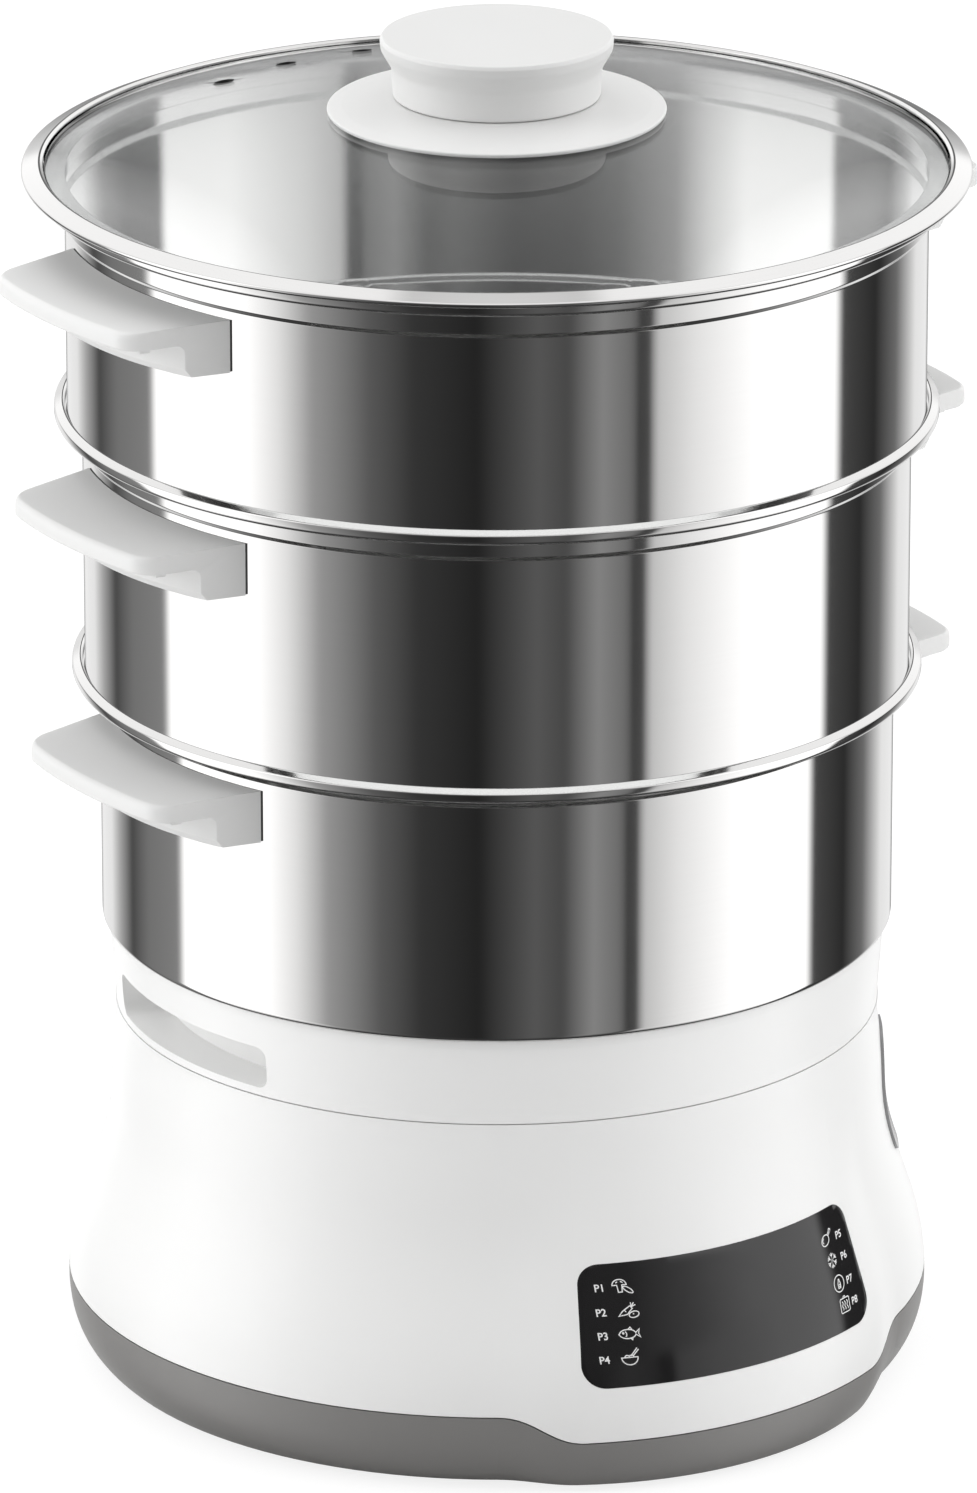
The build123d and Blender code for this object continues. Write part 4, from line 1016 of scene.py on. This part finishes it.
def shade_floor():
    """Pale paper that is near white where it is seen straight."""
    material = bpy.data.materials.new("pale floor")
    material.use_nodes = True
    tree = material.node_tree
    tree.nodes.remove(tree.nodes["Principled BSDF"])
    path = tree.nodes.new("ShaderNodeLightPath")
    place = tree.nodes.new("ShaderNodeTexCoord").outputs["Object"]
    cloud = put(tree, "ShaderNodeTexNoise", "paper drift", Vector=place, Scale=3.0)
    tone = put(tree, "ShaderNodeMapRange", "paper tone", To_Min=0.84, To_Max=0.86)
    link(tree, cloud.outputs[0], tone.inputs[0])
    matt = put(tree, "ShaderNodeBsdfDiffuse", "paper")
    link(tree, tone.outputs[0], matt.inputs["Color"])
    white = put(tree, "ShaderNodeEmission", "white", Color=(1, 1, 1, 1), Strength=1.15)
    share = sums(tree, "MULTIPLY", "white share", path.outputs["Is Camera Ray"], 0.72)
    paper = blend_shaders(tree, "paper or white", share, matt.outputs[0], white.outputs[0])
    link(tree, paper, tree.nodes["Material Output"].inputs["Surface"])
    return material


def lay_floor():
    """Wide round floor that carries the steamer's shadow."""
    mesh = bpy.data.meshes.new("studio_floor")
    form = bmesh.new()
    bmesh.ops.create_circle(form, cap_ends=True, segments=96, radius=14.0)
    form.to_mesh(mesh)
    form.free()
    mesh.materials.append(shade_floor())
    studio_floor = bpy.data.objects.new("studio_floor", mesh)
    bpy.context.scene.collection.objects.link(studio_floor)
    studio_floor.visible_glossy = False


def wall_ramp(tree, label, share, levels):
    """Brightness by heading, from the list of degrees and levels."""
    ramp = tree.nodes.new("ShaderNodeValToRGB")
    ramp.label = label
    stops = ramp.color_ramp.elements
    while len(stops) < len(levels):
        stops.new(0.5)
    for stop, (degrees, level) in zip(stops, levels):
        stop.position = (degrees + 180) / 360
        stop.color = (level, level, level, 1)
    link(tree, share, ramp.inputs[0])
    return ramp.outputs[0]


def layer(tree, label, height, join, below, above):
    """One brightness below a height of the heading, another above it, with a soft join."""
    low, high = join
    share = put(tree, "ShaderNodeMapRange", label + " share", From_Min=low, From_Max=high)
    share.interpolation_type = "SMOOTHSTEP"
    link(tree, height, share.inputs[0])
    mix = put(tree, "ShaderNodeMix", label)
    mix.data_type = "RGBA"
    link(tree, share.outputs[0], mix.inputs["Factor"])
    for slot, level in ((6, below), (7, above)):
        if isinstance(level, bpy.types.NodeSocket):
            link(tree, level, mix.inputs[slot])
        else:
            mix.inputs[slot].default_value = (level, level, level, 1)
    return mix.outputs[2]


def light_room():
    """World that lights the steamer by its walls, and is white where it is seen straight."""
    world = bpy.data.worlds.new("studio")
    bpy.context.scene.world = world
    world.use_nodes = True
    sky = world.node_tree
    sky.nodes.clear()
    heading = put(sky, "ShaderNodeSeparateXYZ", "heading")
    link(sky, sky.nodes.new("ShaderNodeTexCoord").outputs["Generated"], heading.inputs[0])
    east, north, height = heading.outputs
    front = sums(sky, "MULTIPLY", "towards the front", north, -1.0)
    turn = sums(sky, "ARCTAN2", "turn", east, front)
    turn = sums(sky, "SUBTRACT", "from the camera", turn, CAMERA_TURN)
    turn = sums(sky, "WRAP", "one turn", turn, math.pi, -math.pi)
    spread = put(
        sky, "ShaderNodeMapRange", "share of a turn", From_Min=-math.pi, From_Max=math.pi,
    )
    link(sky, turn, spread.inputs[0])
    share = spread.outputs[0]
    around = layer(
        sky, "walls", height, WALLS_JOIN, wall_ramp(sky, "low walls", share, low_walls),
        wall_ramp(sky, "high walls", share, high_walls),
    )
    around = layer(sky, "overhead", height, OVERHEAD_JOIN, around, OVERHEAD)
    around = layer(sky, "underside", height, UNDERSIDE_JOIN, UNDERSIDE, around)
    lit = put(sky, "ShaderNodeBackground", "studio light", Strength=ROOM_LIGHT)
    link(sky, around, lit.inputs["Color"])
    plain = put(
        sky, "ShaderNodeBackground", "white backdrop", Color=(1, 1, 1, 1), Strength=1.0,
    )
    path = sky.nodes.new("ShaderNodeLightPath").outputs
    seen = sums(
        sky, "MAXIMUM", "seen straight", path["Is Camera Ray"], path["Is Transmission Ray"],
    )
    room = blend_shaders(sky, "walls or white", seen, lit.outputs[0], plain.outputs[0])
    link(sky, room, sky.nodes.new("ShaderNodeOutputWorld").inputs[0])


def place_aimed(carrier, target):
    """Turn a lamp or the camera to a point and put it in the studio."""
    carrier.rotation_euler = (target - carrier.location).to_track_quat("-Z", "Y").to_euler()
    bpy.context.scene.collection.objects.link(carrier)


def soft_lamp(name, degrees, height, distance, size, energy):
    """Soft square lamp at an angle from the camera's side, aimed at the steamer's middle."""
    lamp = bpy.data.lights.new(name, "AREA")
    lamp.shape = "RECTANGLE"
    lamp.size, lamp.size_y = size
    lamp.energy = energy
    carrier = bpy.data.objects.new(name, lamp)
    turn = CAMERA_TURN + math.radians(degrees)
    carrier.location = (distance * math.sin(turn), -distance * math.cos(turn), height)
    carrier.visible_glossy = False
    place_aimed(carrier, LAMP_AIM)


def set_camera():
    """Long lens from the front left, looking down a little."""
    camera_data = bpy.data.cameras.new("camera")
    camera_data.sensor_width = SENSOR
    camera_data.lens = LENS
    camera_data.shift_x = PICTURE_SHIFT
    camera_data.clip_end = 60.0
    camera = bpy.data.objects.new("camera", camera_data)
    camera.location = CAMERA_TARGET + CAMERA_REACH * Vector((
        math.sin(CAMERA_TURN) * math.cos(CAMERA_TILT),
        -math.cos(CAMERA_TURN) * math.cos(CAMERA_TILT),
        math.sin(CAMERA_TILT),
    ))
    place_aimed(camera, CAMERA_TARGET)
    bpy.context.scene.camera = camera


lay_floor()
light_room()
soft_lamp("lamp_left", -76, 0.75, 1.9, (1.1, 1.5), 13)
soft_lamp("lamp_right", 74, 0.6, 1.9, (0.9, 1.5), 8)
soft_lamp("lamp_over", 180, 2.2, 0.4, (1.6, 1.6), 4)
soft_lamp("lamp_front", 0, 0.9, 2.6, (1.6, 1.2), 1)
set_camera()
bpy.context.scene.view_settings.view_transform = "Standard"
